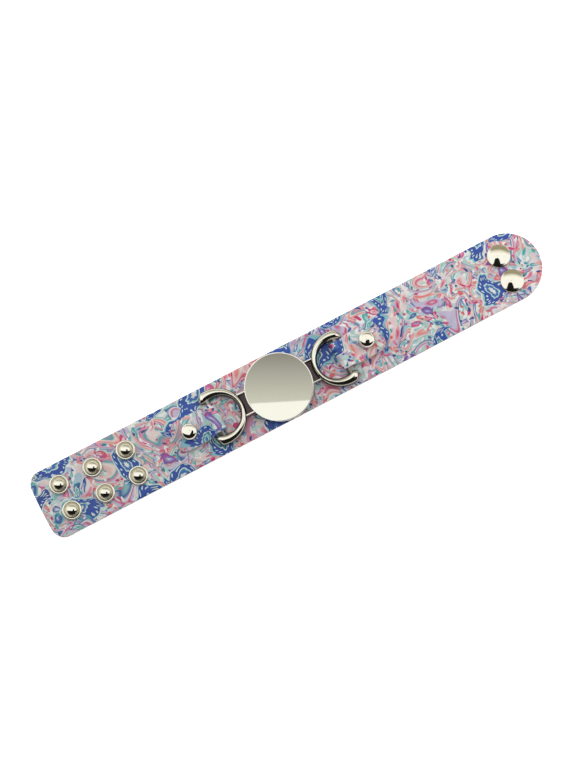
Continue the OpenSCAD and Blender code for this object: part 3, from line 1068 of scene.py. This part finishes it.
    def lay_map(self, piece: bpy.types.Object, rows: Sequence[Point]) -> None:
        """Lays the print flat along the strip, in decimetres.

        Args:
            piece: The strip, with its rows of vertices in order.
            rows: Distance from the rivet and height of each row.
        """
        lengths = [0.0]
        for (x0, z0), (x1, z1) in zip(rows, rows[1:]):
            lengths.append(lengths[-1] + math.hypot(x1 - x0, z1 - z0))
        layer = piece.data.uv_layers.active or piece.data.uv_layers.new(name="print")
        for loop in piece.data.loops:
            point = piece.data.vertices[loop.vertex_index].co
            row = loop.vertex_index // (self.columns + 1)
            layer.data[loop.index].uv = (lengths[row] * DM_IN_M, point.y * DM_IN_M)


@dataclass
class Centrepiece:
    """The casting: disc, two horseshoe rings, the necks between them and the hidden bars.

    Attributes:
        turn: Its turn on the strap, clockwise from above, in degrees.
        disc_r: Radius of the disc.
        disc_t: Thickness of the disc.
        bevel: Bevel round its face.
        crown: How far the polished face is rounded up at its middle.
        ring_x: Middle of a ring's centre line, from the disc's centre.
        ring_r: Radius of that line.
        wire: Mean width of a ring, which is uneven by swell.
        swell: How much wider than the mean it is towards its ends.
        ring_h: Height of its section.
        side_h: Height of its straight sides, under the arched top.
        gap_half: Half the gap between its ends.
        ring_end: Where its ends are cut, from the disc's centre.
        end_round: Length over which its ends are rounded.
        end_power: How full that rounding is, 2 for an ellipse.
        end_least: What is left of its section at its very ends.
        end_height: Share of its height that the rounding leaves alone.
        span: How far it runs to each side of its middle before its ends are cut, in degrees.
        arch: Shape of its arched top, 0.5 for a circle.
        foot: Radius of its lower corners.
        ring_steps: Number of steps along it.
        neck_up: How far the necks lie over the undersides of the rings.
        neck_in: How far they run in under the rings.
        neck_soft: Bevel along their edges.
        rim_y: Half the distance between the rims of a neck.
        rim_w: Width of a rim.
        web_t: Thickness of the web between the rims.
        bar_x: Place of a bar, from the disc's centre.
        bar_r: Radius of a bar.
        bar_in: How far it reaches into each end of its ring.
    """

    turn: float = 1.5
    disc_r: float = 14.5 * MM
    disc_t: float = 1.2 * MM
    bevel: float = 0.14 * MM
    crown: float = 0.02 * MM
    ring_x: float = 27.5 * MM
    ring_r: float = 10.1 * MM
    wire: float = 4.0 * MM
    swell: float = 1.6 * MM
    ring_h: float = 3.2 * MM
    side_h: float = 1.65 * MM
    gap_half: float = 7.3 * MM
    ring_end: float = 32.6 * MM
    end_round: float = 2.4 * MM
    end_power: float = 2.4
    end_least: float = 0.16
    end_height: float = 0.3
    span: float = 130.0
    arch: float = 0.4
    foot: float = 0.5 * MM
    ring_steps: int = 320
    neck_up: float = 0.6 * MM
    neck_in: float = 0.4 * MM
    neck_soft: float = 0.3 * MM
    rim_y: float = 4.7 * MM
    rim_w: float = 0.85 * MM
    web_t: float = 0.7 * MM
    bar_x: float = 29.5 * MM
    bar_r: float = 1.0 * MM
    bar_in: float = 1.3 * MM

    def build(self) -> Pieces:
        """Builds and dresses the disc, the necks and the rings.

        Returns:
            The four pieces.
        """
        low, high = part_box("centrepiece")
        middle = (low + high) / 2
        seat = turned(-self.turn, middle.x, middle.y)
        disc = self.disc(high.z)
        disc.data.transform(seat)
        neck = self.neck(low.z + self.neck_up, high.z - self.disc_t)
        neck.data.transform(seat)
        finishes = {disc: [DISC_FACE.make()], neck: [CASTING.make(), SHADED_RECESS.make()]}
        ring = self.ring(low.z)
        for side in Side:
            copy = place_copy(ring, f"ring_{side.name.lower()}", Vector((0, 0, 0)))
            copy.data.transform(seat @ turned(180 if side is Side.LEFT else 0))
            # The steepness of each ring sets where the casting's painted shade lies on its sides.
            mark_painted_shade(copy)
            finishes[copy] = []
        drop(ring)
        return [dress(piece, materials, ["centrepiece"])
                for piece, materials in finishes.items()]

    def disc(self, top: float) -> bpy.types.Object:
        """Turns the disc, with a bevelled rim and a barely rounded face.

        Args:
            top: Height of its face at the middle.

        Returns:
            The disc, round the Z axis.
        """
        r, bottom = self.disc_r, top - self.disc_t
        flat_r = r - self.bevel
        dome = (flat_r ** 2 + self.crown ** 2) / (2 * self.crown)
        edge = math.degrees(math.acos(flat_r / dome))
        rounds, soft = 14, 0.2 * MM
        step = (90 - edge) / rounds
        shoulder = top - self.crown
        profile = [(0.0, bottom), (r - soft, bottom), (r, bottom + soft)]
        profile += [(r, shoulder - self.bevel), (r - 0.35 * self.bevel, shoulder - 0.3 * self.bevel)]
        profile += arc((0.0, top - dome), dome, edge, edge + 0.2 * step, 1)
        profile += arc((0.0, top - dome), dome, edge + step, 90, rounds - 1)
        return lathe("disc", profile, 160)

    def neck(self, bottom: float, top: float) -> bpy.types.Object:
        """Builds the channel under the disc: a web with a rim along each side.

        Args:
            bottom: Height of its underside.
            top: Height of its rims.

        Returns:
            The channel, along the X axis.
        """
        half_l = self.ring_x - self.ring_r + self.neck_in
        half_w = self.rim_y + self.rim_w / 2
        inner = self.rim_y - self.rim_w / 2
        deselect()
        bpy.ops.mesh.primitive_cube_add(size=1)
        piece = bpy.context.object
        edit(piece)
        bpy.ops.transform.resize(value=(2 * half_l, 2 * half_w, self.web_t))
        move((0, 0, bottom + self.web_t / 2))
        for y in (-inner, inner):
            bpy.ops.mesh.select_all(action="SELECT")
            bpy.ops.mesh.bisect(plane_co=(0, y, 0), plane_no=(0, 1, 0))
        choose("FACE", lambda f: f.normal.z > 0.9 and abs(f.calc_center_median().y) > inner)
        bpy.ops.mesh.extrude_region_move(
            TRANSFORM_OT_translate={"value": (0, 0, top - bottom - self.web_t)})
        bpy.ops.object.mode_set(mode="OBJECT")
        apply_modifier(piece, "BEVEL", width=self.neck_soft, segments=4, limit_method="ANGLE")
        finish_mesh(piece, "neck")
        # The web and the inner faces of the rims, below their rounded tops, are the unpolished recess,
        # darkened with painted shade under the disc.
        for polygon in piece.data.polygons:
            _, y, z = polygon.center
            recessed = bottom + 0.5 * self.web_t < z < top - 0.2 * MM
            polygon.material_index = int(recessed and abs(y) < inner + 0.02 * MM)
        return piece

    def width(self, angle: float) -> tuple[float, float]:
        """How far a ring reaches inside and outside its centre line, with its ends clear of the gap.

        Args:
            angle: Angle round the ring, 0 at the middle of its gap.

        Returns:
            The reach inwards and outwards.
        """
        half = (self.wire + self.swell * math.cos(angle)) / 2
        clear = self.ring_r - self.gap_half / max(abs(math.sin(angle)), 0.1)
        return (min(half, clear) if math.cos(angle) > 0.2 else half), half

    def ring(self, bottom: float) -> bpy.types.Object:
        """Builds a horseshoe ring on the side of +X: a rounded section, spun, then cut at its ends.

        Args:
            bottom: Height of its underside.

        Returns:
            The ring with its bar.
        """
        deselect()
        bpy.ops.mesh.primitive_plane_add(size=1, rotation=(math.pi / 2, 0, 0))
        piece = bpy.context.object
        bpy.ops.object.transform_apply(location=False, rotation=True, scale=False)
        edit(piece)
        square_h = self.side_h + self.wire / 2
        bpy.ops.transform.resize(value=(self.wire, 1, square_h))
        choose("VERT", lambda v: v.co.z > 0)
        bpy.ops.mesh.bevel(offset=self.wire / 2, segments=14, affect="VERTICES", profile=self.arch)
        choose("VERT", lambda v: v.co.z < -0.45 * square_h)
        bpy.ops.mesh.bevel(offset=self.foot, segments=4, affect="VERTICES")
        bpy.ops.mesh.select_all(action="SELECT")
        bpy.ops.mesh.remove_doubles(threshold=0.005 * MM)
        bpy.ops.mesh.select_all(action="SELECT")
        move((-self.ring_r, 0, square_h / 2))
        bpy.ops.object.mode_set(mode="OBJECT")
        piece.data.transform(turned(self.span))
        edit(piece)
        bpy.ops.mesh.spin(steps=self.ring_steps, angle=math.radians(2 * self.span), center=(0, 0, 0),
                          axis=(0, 0, 1))
        bpy.ops.object.mode_set(mode="OBJECT")
        self.shape_ring(piece, bottom)
        edit(piece)
        bpy.ops.mesh.bisect(plane_co=(self.ring_end, 0, 0), plane_no=(1, 0, 0), use_fill=True,
                            clear_outer=True)
        bpy.ops.object.mode_set(mode="OBJECT")
        finish_mesh(piece, "ring_model")
        piece.data.materials.append(bpy.data.materials[CASTING.name])
        join(piece, self.bar(centre_of("tab_left").z))
        return finish_mesh(piece, "ring_model")

    def shape_ring(self, piece: bpy.types.Object, bottom: float) -> None:
        """Gives an evenly spun ring its uneven width, its arched top and its rounded ends.

        Args:
            piece: The ring, round the Z axis.
            bottom: Height of its underside.
        """
        for vertex in piece.data.vertices:
            angle = math.atan2(vertex.co.y, vertex.co.x)
            radius = math.hypot(vertex.co.x, vertex.co.y)
            inwards, outwards = self.width(angle)
            from_end = clamp((self.ring_end - self.ring_x - radius * math.cos(angle)) / self.end_round)
            full = max(1 - (1 - from_end) ** self.end_power, self.end_least) ** (1 / self.end_power)
            reach = (radius - self.ring_r) / (self.wire / 2) * (outwards if radius > self.ring_r else inwards)
            vertex.co.x = (self.ring_r + full * reach) * math.cos(angle) + self.ring_x
            vertex.co.y = (self.ring_r + full * reach) * math.sin(angle)
            arched = max(vertex.co.z - self.side_h, 0.0)
            height = vertex.co.z - arched + arched * (self.ring_h - self.side_h) / (self.wire / 2)
            vertex.co.z = bottom + (self.end_height + (1 - self.end_height) * full) * height

    def bar(self, height: float) -> bpy.types.Object:
        """Builds the bar between the ends of a ring, which reaches into both of them.

        Args:
            height: Height of its middle.

        Returns:
            The bar, with its material.
        """
        deselect()
        bpy.ops.mesh.primitive_cylinder_add(
            vertices=40, radius=self.bar_r, depth=2 * (self.gap_half + self.bar_in),
            location=(self.bar_x, 0, height), rotation=(math.pi / 2, 0, 0))
        bar = bpy.context.object
        bpy.ops.object.transform_apply(location=True, rotation=True, scale=True)
        apply_modifier(bar, "BEVEL", width=0.1 * MM, segments=2, limit_method="ANGLE")
        # The bar's darker grey is painted shade.
        bar.data.materials.append(SHADED_BAR.make())
        return bar


@dataclass
class Rivets:
    """The two ball-headed rivets and their flat backs.

    Attributes:
        tab_gap: How far a ball sits above its tab's upper layer.
        flatness: Height of a ball's upper half as a share of its radius.
        fullness: How full its section is, 2 for an ellipse.
        post_r: Radius of the post.
    """

    tab_gap: float = 0.05 * MM
    flatness: float = 0.76
    fullness: float = 2.5
    post_r: float = 1.4 * MM

    def build(self) -> Pieces:
        """Builds and dresses both rivets and both backs.

        Returns:
            The four pieces.
        """
        face, back = SNAP_FACE.make(), SNAP_BACK.make()
        low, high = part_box("rivet_left")
        ball_r = (high.x - low.x) / 2
        seat = Tab(Side.LEFT).upper_face(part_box("tab_left")[0].z) + self.tab_gap
        ball_h = self.flatness * ball_r
        power = 2 / self.fullness
        depth = (high.z - ball_h - seat) / ball_h
        start = -math.degrees(math.asin(depth ** (1 / power)))
        profile = [(0.0, low.z), (self.post_r, low.z), (self.post_r, seat)]
        profile += [(abs(x) ** power * ball_r, high.z - ball_h + math.copysign(abs(z) ** power, z) * ball_h)
                    for x, z in arc((0.0, 0.0), 1.0, start, 90, 48)]
        model = lathe("rivet_model", profile, 96)
        under = flat_back("rivet_back_model", "rivet_back_left")
        pieces = []
        for side in Side:
            name = side.name.lower()
            middle = centre_of("rivet_" + name)
            where = Vector((middle.x, middle.y, 0))
            ball = place_copy(model, f"rivet_{name}_ball", where)
            plate = place_copy(under, f"rivet_{name}_plate", where)
            pieces += [dress(ball, [face], ["rivet_" + name]),
                       dress(plate, [back], ["rivet_back_" + name])]
        drop(model)
        drop(under)
        return pieces


def flat_back(name: str, node: str, hollow: float = 0.0) -> bpy.types.Object:
    """Turns the flat back of a rivet or a snap, slightly domed on its outside.

    Args:
        name: The piece's name.
        node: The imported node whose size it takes.
        hollow: Radius of the clinched dimple in its middle, or 0.

    Returns:
        The back, round the Z axis.
    """
    low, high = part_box(node)
    r = (high.x - low.x) / 2
    flange, soft, deep = 0.75 * MM, 0.3 * MM, 0.3 * MM
    top = min(high.z, flange)
    profile = [(0.0, 0.0)]
    if hollow:
        profile = [(0.0, deep), (0.6 * hollow, deep), (hollow, deep / 6), (hollow + deep / 2, 0.0)]
    profile += [(r - 2 * soft, 0.0)]
    profile += arc((r - soft, soft), soft, -65, 0, 4)
    profile += arc((r - soft, top - soft), soft, 0, 90, 4)
    profile += [(0.0, top)]
    return lathe(name, profile)


@dataclass
class Snaps:
    """The six studs with their eyelets, and the two caps with their sockets.

    Lengths in the profiles that have no name of their own are the soft steps that a press leaves.

    Attributes:
        roll: Radius of the rolled rim of a stud's flange.
        plate: Thickness of the flange at the knob, and of a socket's ceiling.
        dish: Radius where the flange's dished face meets its flat middle.
        knob_r: Radius of a stud's knob.
        neck_in: How much narrower the knob's neck is.
        crown: Height of the knob's rounded top.
        cap_roll: Radius of the rolled edge of a cap.
        cap_crown: Height of a cap's dome over that edge.
        cap_gap: How far a cap sits above the strap.
        bore: Radius of a socket's bore.
        dimple: Radius of the clinched dimple in an eyelet.
        pairs: Pairs of studs.
    """

    roll: float = 0.55 * MM
    plate: float = 0.4 * MM
    dish: float = 2.6 * MM
    knob_r: float = 2.1 * MM
    neck_in: float = 0.2 * MM
    crown: float = 0.85 * MM
    cap_roll: float = 0.62 * MM
    cap_crown: float = 1.05 * MM
    cap_gap: float = 0.05 * MM
    bore: float = 2.18 * MM
    dimple: float = 1.1 * MM
    pairs: int = 3

    def build(self) -> Pieces:
        """Builds and dresses all the snaps.

        Returns:
            The sixteen pieces.
        """
        face, back, groove = SNAP_FACE.make(), SNAP_BACK.make(), SNAP_GROOVE.make()
        models = {"stud": self.stud(), "eyelet": flat_back("eyelet_model", "eyelet_far_1", self.dimple),
                  "cap": self.cap(), "socket": self.socket()}
        pieces = []
        for row in Row:
            name = row.name.lower()
            for i in range(1, self.pairs + 1):
                pieces += [self.copy(models["stud"], f"stud_{name}_{i}", [face, groove], "nickel_snap"),
                           self.copy(models["eyelet"], f"eyelet_{name}_{i}", [back], "nickel_back")]
            pieces += [self.copy(models["cap"], f"cap_{name}", [face], "nickel_snap"),
                       self.copy(models["socket"], f"socket_{name}", [back], "nickel_back")]
        for model in models.values():
            drop(model)
        return pieces

    @staticmethod
    def copy(model: bpy.types.Object, node: str, finishes: Sequence[bpy.types.Material],
             slot: str) -> bpy.types.Object:
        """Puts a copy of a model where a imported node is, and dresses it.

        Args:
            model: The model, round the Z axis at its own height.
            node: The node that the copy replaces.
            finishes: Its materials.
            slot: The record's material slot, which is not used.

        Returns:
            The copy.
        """
        where = centre_of(node)
        piece = place_copy(model, node + "_plated", Vector((where.x, where.y, 0)))
        return dress(piece, finishes, [node])

    def stud(self) -> bpy.types.Object:
        """Turns a stud: a dished flange with a rolled rim, and a necked knob.

        Returns:
            The stud, round the Z axis.
        """
        low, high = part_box("stud_far_1")
        rim_r = (high.x - low.x) / 2 - self.roll
        z = low.z
        flat = z + self.plate
        shoulder = high.z - self.crown
        dome = (self.knob_r ** 2 + self.crown ** 2) / (2 * self.crown)
        profile = [(0.0, z), (rim_r, z)]
        profile += arc((rim_r, z + self.roll), self.roll, -60, 152, 14)
        profile += [(self.dish + 0.1 * MM, flat + 0.03 * MM), (self.dish, flat)]
        profile += [(self.knob_r + 0.12 * MM, flat), (self.knob_r - self.neck_in, flat + 0.3 * MM)]
        profile += [(self.knob_r - 0.04 * MM, shoulder - self.crown)]
        profile += [(self.knob_r, shoulder - 0.6 * self.crown), (self.knob_r, shoulder)]
        profile += arc((0.0, high.z - dome), dome, math.degrees(math.acos(self.knob_r / dome)), 90, 10)
        stud = lathe("stud_model", profile)
        for polygon in stud.data.polygons:
            radius = polygon.center.to_2d().length
            polygon.material_index = int(self.knob_r - 0.1 * MM < radius < self.dish + 0.1 * MM)
        return stud

    def cap(self) -> bpy.types.Object:
        """Turns a cap: a smooth low dome with a rolled edge.

        Returns:
            The cap, round the Z axis.
        """
        low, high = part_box("cap_far")
        r = (high.x - low.x) / 2
        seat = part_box("strap")[1].z + self.cap_gap
        edge_r, edge_z = r - self.cap_roll, high.z - self.cap_crown - 0.2 * self.cap_roll
        dome = (edge_r ** 2 + self.cap_crown ** 2) / (2 * self.cap_crown)
        start = math.degrees(math.acos(edge_r / dome))
        profile = [(0.0, seat), (edge_r, seat), (r - 0.1 * MM, seat + 0.1 * MM), (r, seat + 0.3 * MM)]
        profile += arc((edge_r, edge_z - 0.8 * self.cap_roll), self.cap_roll, 0, start - 6, 8)
        profile += arc((0.0, high.z - dome), dome, start + 0.5, 90, 24)
        return lathe("cap_model", profile, 96)

    def socket(self) -> bpy.types.Object:
        """Turns a socket that is open downwards, with a lip round its mouth.

        Returns:
            The socket, round the Z axis.
        """
        low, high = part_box("socket_far")
        r = (high.x - low.x) / 2
        bore, lip, soft, top = self.bore, 0.3 * MM, 0.5 * MM, high.z
        ceiling = top - self.plate
        profile = [(0.0, ceiling), (bore, ceiling), (bore, lip), (bore + 0.1 * MM, 0.08 * MM),
                   (bore + lip, 0.0)]
        profile += arc((r - soft, soft), soft, -90, 0, 6)
        profile += arc((r - soft, top - soft), soft, 0, 90, 6)
        profile += [(0.0, top)]
        return lathe("socket_model", profile)


@dataclass
class Studio:
    """The camera, the floor and the light of a plain product picture.

    Attributes:
        azimuth: Where the camera looks, 0 along +Y and positive to -X, in degrees.
        elevation: Its height above the surface, in degrees.
        distance: From the camera to the point that it looks at.
        target: That point.
        focal_px: Focal length in pixels of the photograph's frame.
        frame_px: Height of that frame in pixels.
        brightness: Strength of the light tent.
        board: Width of the white board under the bracelet.
        board_drop: How far the board lies below the origin, so that it meets no face of the bracelet.
        card_height: Height of the black card over the surface.
        card_edge: How far ahead of the middle its edge is.
        card_size: Its width and depth.
        stand_box: Left side, width and top of the camera's stand, in the card's plane.
        stand_foot: How much wider its foot is.
        stand_lap: How far it laps the card.
        stand_drop: How far it hangs below the card.
        card_grade: Distance from the bracelet where the card starts to pale, and where it is palest.
        panel_box: Left side, near side, width and depth of a grey panel over the round end.
        panel_height: Height of that panel over the surface.
        panel_grade: Depth over which the panel runs from white to grey.
        wall: Height where the grey far wall starts in a mirror ball, and how softly.
        window: Left side, lower side and width of a square window in a mirror ball.
        sill: Slope, height and left end of the window's lower part, which is white.
        ceiling: Height where the window is darkest.
        window_soft: How softly the window ends, and the sill at its upper side and at its left end.
    """

    azimuth: float = -27.67
    elevation: float = 82.0
    distance: float = 0.8
    target: tuple[float, float, float] = (-0.00204, -0.00039, 0.0)
    focal_px: float = 1904.0
    frame_px: float = 768.0
    brightness: float = 1.35
    board: float = 6.0
    board_drop: float = 0.02 * MM
    card_height: float = 0.28
    card_edge: float = -0.115
    card_size: tuple[float, float] = (5.0, 3.0)
    stand_box: tuple[float, float, float] = (0.025, 0.085, 0.045)
    stand_foot: float = 2.6
    stand_lap: float = 0.03
    stand_drop: float = 1 * MM
    card_grade: tuple[float, float] = (1.6, 3.4)
    panel_box: tuple[float, float, float, float] = (0.01, 0.092, 0.28, 0.3)
    panel_height: float = 0.1
    panel_grade: float = 0.06
    wall: tuple[float, float] = (0.5, 0.15)
    window: tuple[float, float, float] = (-0.017, 0.122, 0.034)
    sill: tuple[float, float, float] = (0.056, 0.1334, -0.0125)
    ceiling: float = 0.15
    window_soft: tuple[float, float, float] = (0.001, 0.0002, 0.0015)

    # Width in millimetres of the film that the focal length is turned to.
    SENSOR_MM = 36.0

    def build(self) -> None:
        """Sets up the camera, the floor and the surroundings."""
        self.camera()
        self.floor()
        self.card()
        self.panel()
        self.surroundings()

    def axes(self) -> tuple[Vector, Vector]:
        """The camera's right and its forward direction, both level.

        Returns:
            The two directions.
        """
        a = math.radians(self.azimuth)
        return Vector((math.cos(a), math.sin(a), 0)), Vector((-math.sin(a), math.cos(a), 0))

    def camera(self) -> None:
        """Sets the camera at the photograph's angle."""
        _, ahead = self.axes()
        tilt = math.radians(self.elevation)
        look = ahead * math.cos(tilt) + Vector((0, 0, -math.sin(tilt)))
        data = bpy.data.cameras.new("camera")
        data.sensor_width = self.SENSOR_MM
        data.sensor_fit = "AUTO"
        data.lens = self.focal_px / self.frame_px * self.SENSOR_MM
        data.clip_start = 0.01
        camera = bpy.data.objects.new("camera", data)
        camera.location = Vector(self.target) - look * self.distance
        camera.rotation_euler = look.to_track_quat("-Z", "Y").to_euler()
        bpy.context.scene.collection.objects.link(camera)
        bpy.context.scene.camera = camera

    def floor(self) -> None:
        """Lays a plain white board under the bracelet."""
        deselect()
        bpy.ops.mesh.primitive_plane_add(size=self.board, location=(0, 0, -self.board_drop))
        board = bpy.context.object
        board.name = "floor"
        material, _, shader = new_material("White laminate board")
        feed(shader, {"Base Color": "#f6f6f6", "Roughness": 0.6, "Emission Color": "#ffffff",
                      "Emission Strength": 0.75})
        board.data.materials.append(material)

    def card(self) -> None:
        """Hangs a card over the camera's side, with the camera's stand in front of its edge.

        Polished metal looks like metal only when it has something dark to mirror. The card is close
        overhead, so each snap and rivet mirrors it a little differently, and it keeps the light off that
        side, so that shadows fall towards the camera. It is black, and pales far away. The camera itself
        looks through it.
        """
        deselect()
        bpy.ops.mesh.primitive_plane_add(size=1)
        card = bpy.context.object
        card.name = "card"
        edit(card)
        bpy.ops.transform.resize(value=(self.card_size[0], self.card_size[1], 1))
        move((0, self.card_edge - self.card_size[1] / 2, self.card_height))
        bpy.ops.object.mode_set(mode="OBJECT")
        join(card, self.stand())
        card.data.transform(turned(self.azimuth))
        material, tree, shader = new_material("Matt card, black to grey")
        away = add_node(tree, "VectorMath", [add_node(tree, "TexCoord", output="Object")], "Value",
                        operation="LENGTH")
        share = add_node(tree, "MapRange", {"Value": away, "From Min": self.card_grade[0],
                                            "From Max": self.card_grade[1]})
        colour = add_node(tree, "Mix", {"Factor": share, BELOW: "#14120f", ABOVE: "#b4b1a6"}, MIXED,
                          data_type="RGBA")
        feed(shader, {"Base Color": colour, "Roughness": 0.9, "Specular IOR Level": 0.1})
        card.data.materials.append(material)
        card.visible_camera = False

    def stand(self) -> bpy.types.Object:
        """Cuts the outline of the camera's stand: a round-topped bar on a wider foot.

        Returns:
            The outline, just under the card.
        """
        deselect()
        bpy.ops.mesh.primitive_plane_add(size=1)
        stand = bpy.context.object
        edit(stand)
        left, wide, top = self.stand_box
        deep = top - self.card_edge + self.stand_lap
        bpy.ops.transform.resize(value=(wide, deep, 1))
        move((left + wide / 2, top - deep / 2, self.card_height - self.stand_drop))
        choose("VERT", lambda v: v.co.y < self.card_edge)
        bpy.ops.transform.resize(value=(self.stand_foot, 1, 1))
        choose("VERT", lambda v: v.co.y > self.card_edge)
        bpy.ops.mesh.bevel(offset=0.45 * wide, segments=8, affect="VERTICES")
        bpy.ops.object.mode_set(mode="OBJECT")
        return stand

    def panel(self) -> None:
        """Hangs a panel low over the far side of the round end, which the caps mirror in their upper part.

        It runs from white to grey, and it keeps no light off the leather.
        """
        left, near, wide, deep = self.panel_box
        deselect()
        bpy.ops.mesh.primitive_plane_add(size=1)
        panel = bpy.context.object
        panel.name = "panel"
        edit(panel)
        bpy.ops.transform.resize(value=(wide, deep, 1))
        move((left + wide / 2, near + deep / 2, self.panel_height))
        bpy.ops.object.mode_set(mode="OBJECT")
        panel.data.transform(turned(self.azimuth))
        material, tree, shader = new_material("Matt panel, white to grey")
        place = add_node(tree, "TexCoord", output="Object")
        ahead = add_node(tree, "VectorMath", [place, self.axes()[1]], "Value", operation="DOT_PRODUCT")
        share = add_node(tree, "MapRange", {"Value": ahead, "From Min": near,
                                            "From Max": near + self.panel_grade})
        colour = add_node(tree, "Mix", {"Factor": share, BELOW: "#f6f5ee", ABOVE: "#89826a"}, MIXED,
                          data_type="RGBA")
        feed(shader, {"Base Color": colour, "Roughness": 0.9})
        panel.data.materials.append(material)
        panel.visible_camera = panel.visible_diffuse = panel.visible_shadow = False

    @staticmethod
    def above(tree: bpy.types.NodeTree, value: bpy.types.NodeSocket, limit: float | bpy.types.NodeSocket,
              soft: float) -> bpy.types.NodeSocket:
        """Tells where a value is over a limit.

        Args:
            tree: The node tree.
            value: The value.
            limit: The limit.
            soft: How far to each side of the limit the change is spread.

        Returns:
            The socket, with 0 below the limit and 1 above it.
        """
        over = add_node(tree, "Math", [value, limit], operation="SUBTRACT")
        return add_node(tree, "MapRange", {"Value": over, "From Min": -soft, "From Max": soft},
                        interpolation_type="SMOOTHSTEP")

    def mirror_ball(self, tree: bpy.types.NodeTree) -> tuple[bpy.types.NodeSocket, bpy.types.NodeSocket]:
        """Finds where a direction would be seen in a mirror ball, from the camera.

        Args:
            tree: The node tree of the world.

        Returns:
            How far to the right and how far up, from -1 to 1.
        """
        right, ahead = self.axes()
        tilt = math.radians(self.elevation)
        to_camera = Vector((0, 0, math.sin(tilt))) - ahead * math.cos(tilt)
        upwards = Vector((0, 0, math.cos(tilt))) + ahead * math.sin(tilt)
        ray = add_node(tree, "TexCoord", output="Generated")
        half = add_node(tree, "VectorMath", [ray, to_camera], operation="ADD")
        ball = add_node(tree, "VectorMath", [half], operation="NORMALIZE")
        x, y = (add_node(tree, "VectorMath", [ball, axis], "Value", operation="DOT_PRODUCT")
                for axis in (right, upwards))
        return x, y

    def surroundings(self) -> None:
        """Paints the light tent round the bracelet: white all round, a grey far wall, and a window overhead.

        The window is so small that it shows in the disc's flat face alone: grey, with a white sill.
        """
        bpy.context.scene.view_settings.view_transform = "Standard"
        world = bpy.data.worlds.new("light tent")
        world.use_nodes = True
        bpy.context.scene.world = world
        tree = world.node_tree
        x, y = self.mirror_ball(tree)
        wall = self.above(tree, y, *self.wall)
        colour = add_node(tree, "Mix", {"Factor": wall, BELOW: "#fffffb", ABOVE: "#a8a491"}, MIXED,
                          data_type="RGBA")
        slope, foot, corner = self.sill
        frame_soft, sill_soft, end_soft = self.window_soft
        shade = add_node(tree, "MapRange", {"Value": y, "From Min": foot, "From Max": self.ceiling})
        pane = add_node(tree, "Mix", {"Factor": shade, BELOW: "#c8c8bc", ABOVE: "#86847b"}, MIXED,
                        data_type="RGBA")
        line = add_node(tree, "Math", [x, slope, foot], operation="MULTIPLY_ADD")
        sill = add_node(tree, "Math", [self.above(tree, line, y, sill_soft),
                                       self.above(tree, x, corner, end_soft)], operation="MULTIPLY")
        pane = add_node(tree, "Mix", {"Factor": sill, BELOW: pane, ABOVE: "#f7f7ef"}, MIXED, data_type="RGBA")
        left, low, size = self.window
        outside = []
        for place, middle in ((x, left + size / 2), (y, low + size / 2)):
            off = add_node(tree, "Math", [place, middle], operation="SUBTRACT")
            off = add_node(tree, "Math", [off], operation="ABSOLUTE")
            outside.append(self.above(tree, off, size / 2, frame_soft))
        beyond = add_node(tree, "Math", outside, operation="MAXIMUM")
        colour = add_node(tree, "Mix", {"Factor": beyond, BELOW: pane, ABOVE: colour}, MIXED,
                          data_type="RGBA")
        feed(tree.nodes["Background"], {"Color": colour, "Strength": self.brightness})


def main() -> None:
    """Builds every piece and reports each."""
    logging.basicConfig(level=logging.INFO, format="%(name)s: %(message)s")
    Studio().build()
    for part in (Strap(), Tab(Side.LEFT, turn=1.0), Tab(Side.RIGHT, turn=2.5), Centrepiece(), Rivets(),
                 Snaps()):
        for piece in part.build():
            LOG.info("%s: %d faces", piece.name, len(piece.data.polygons))


if __name__ == "__main__":
    main()
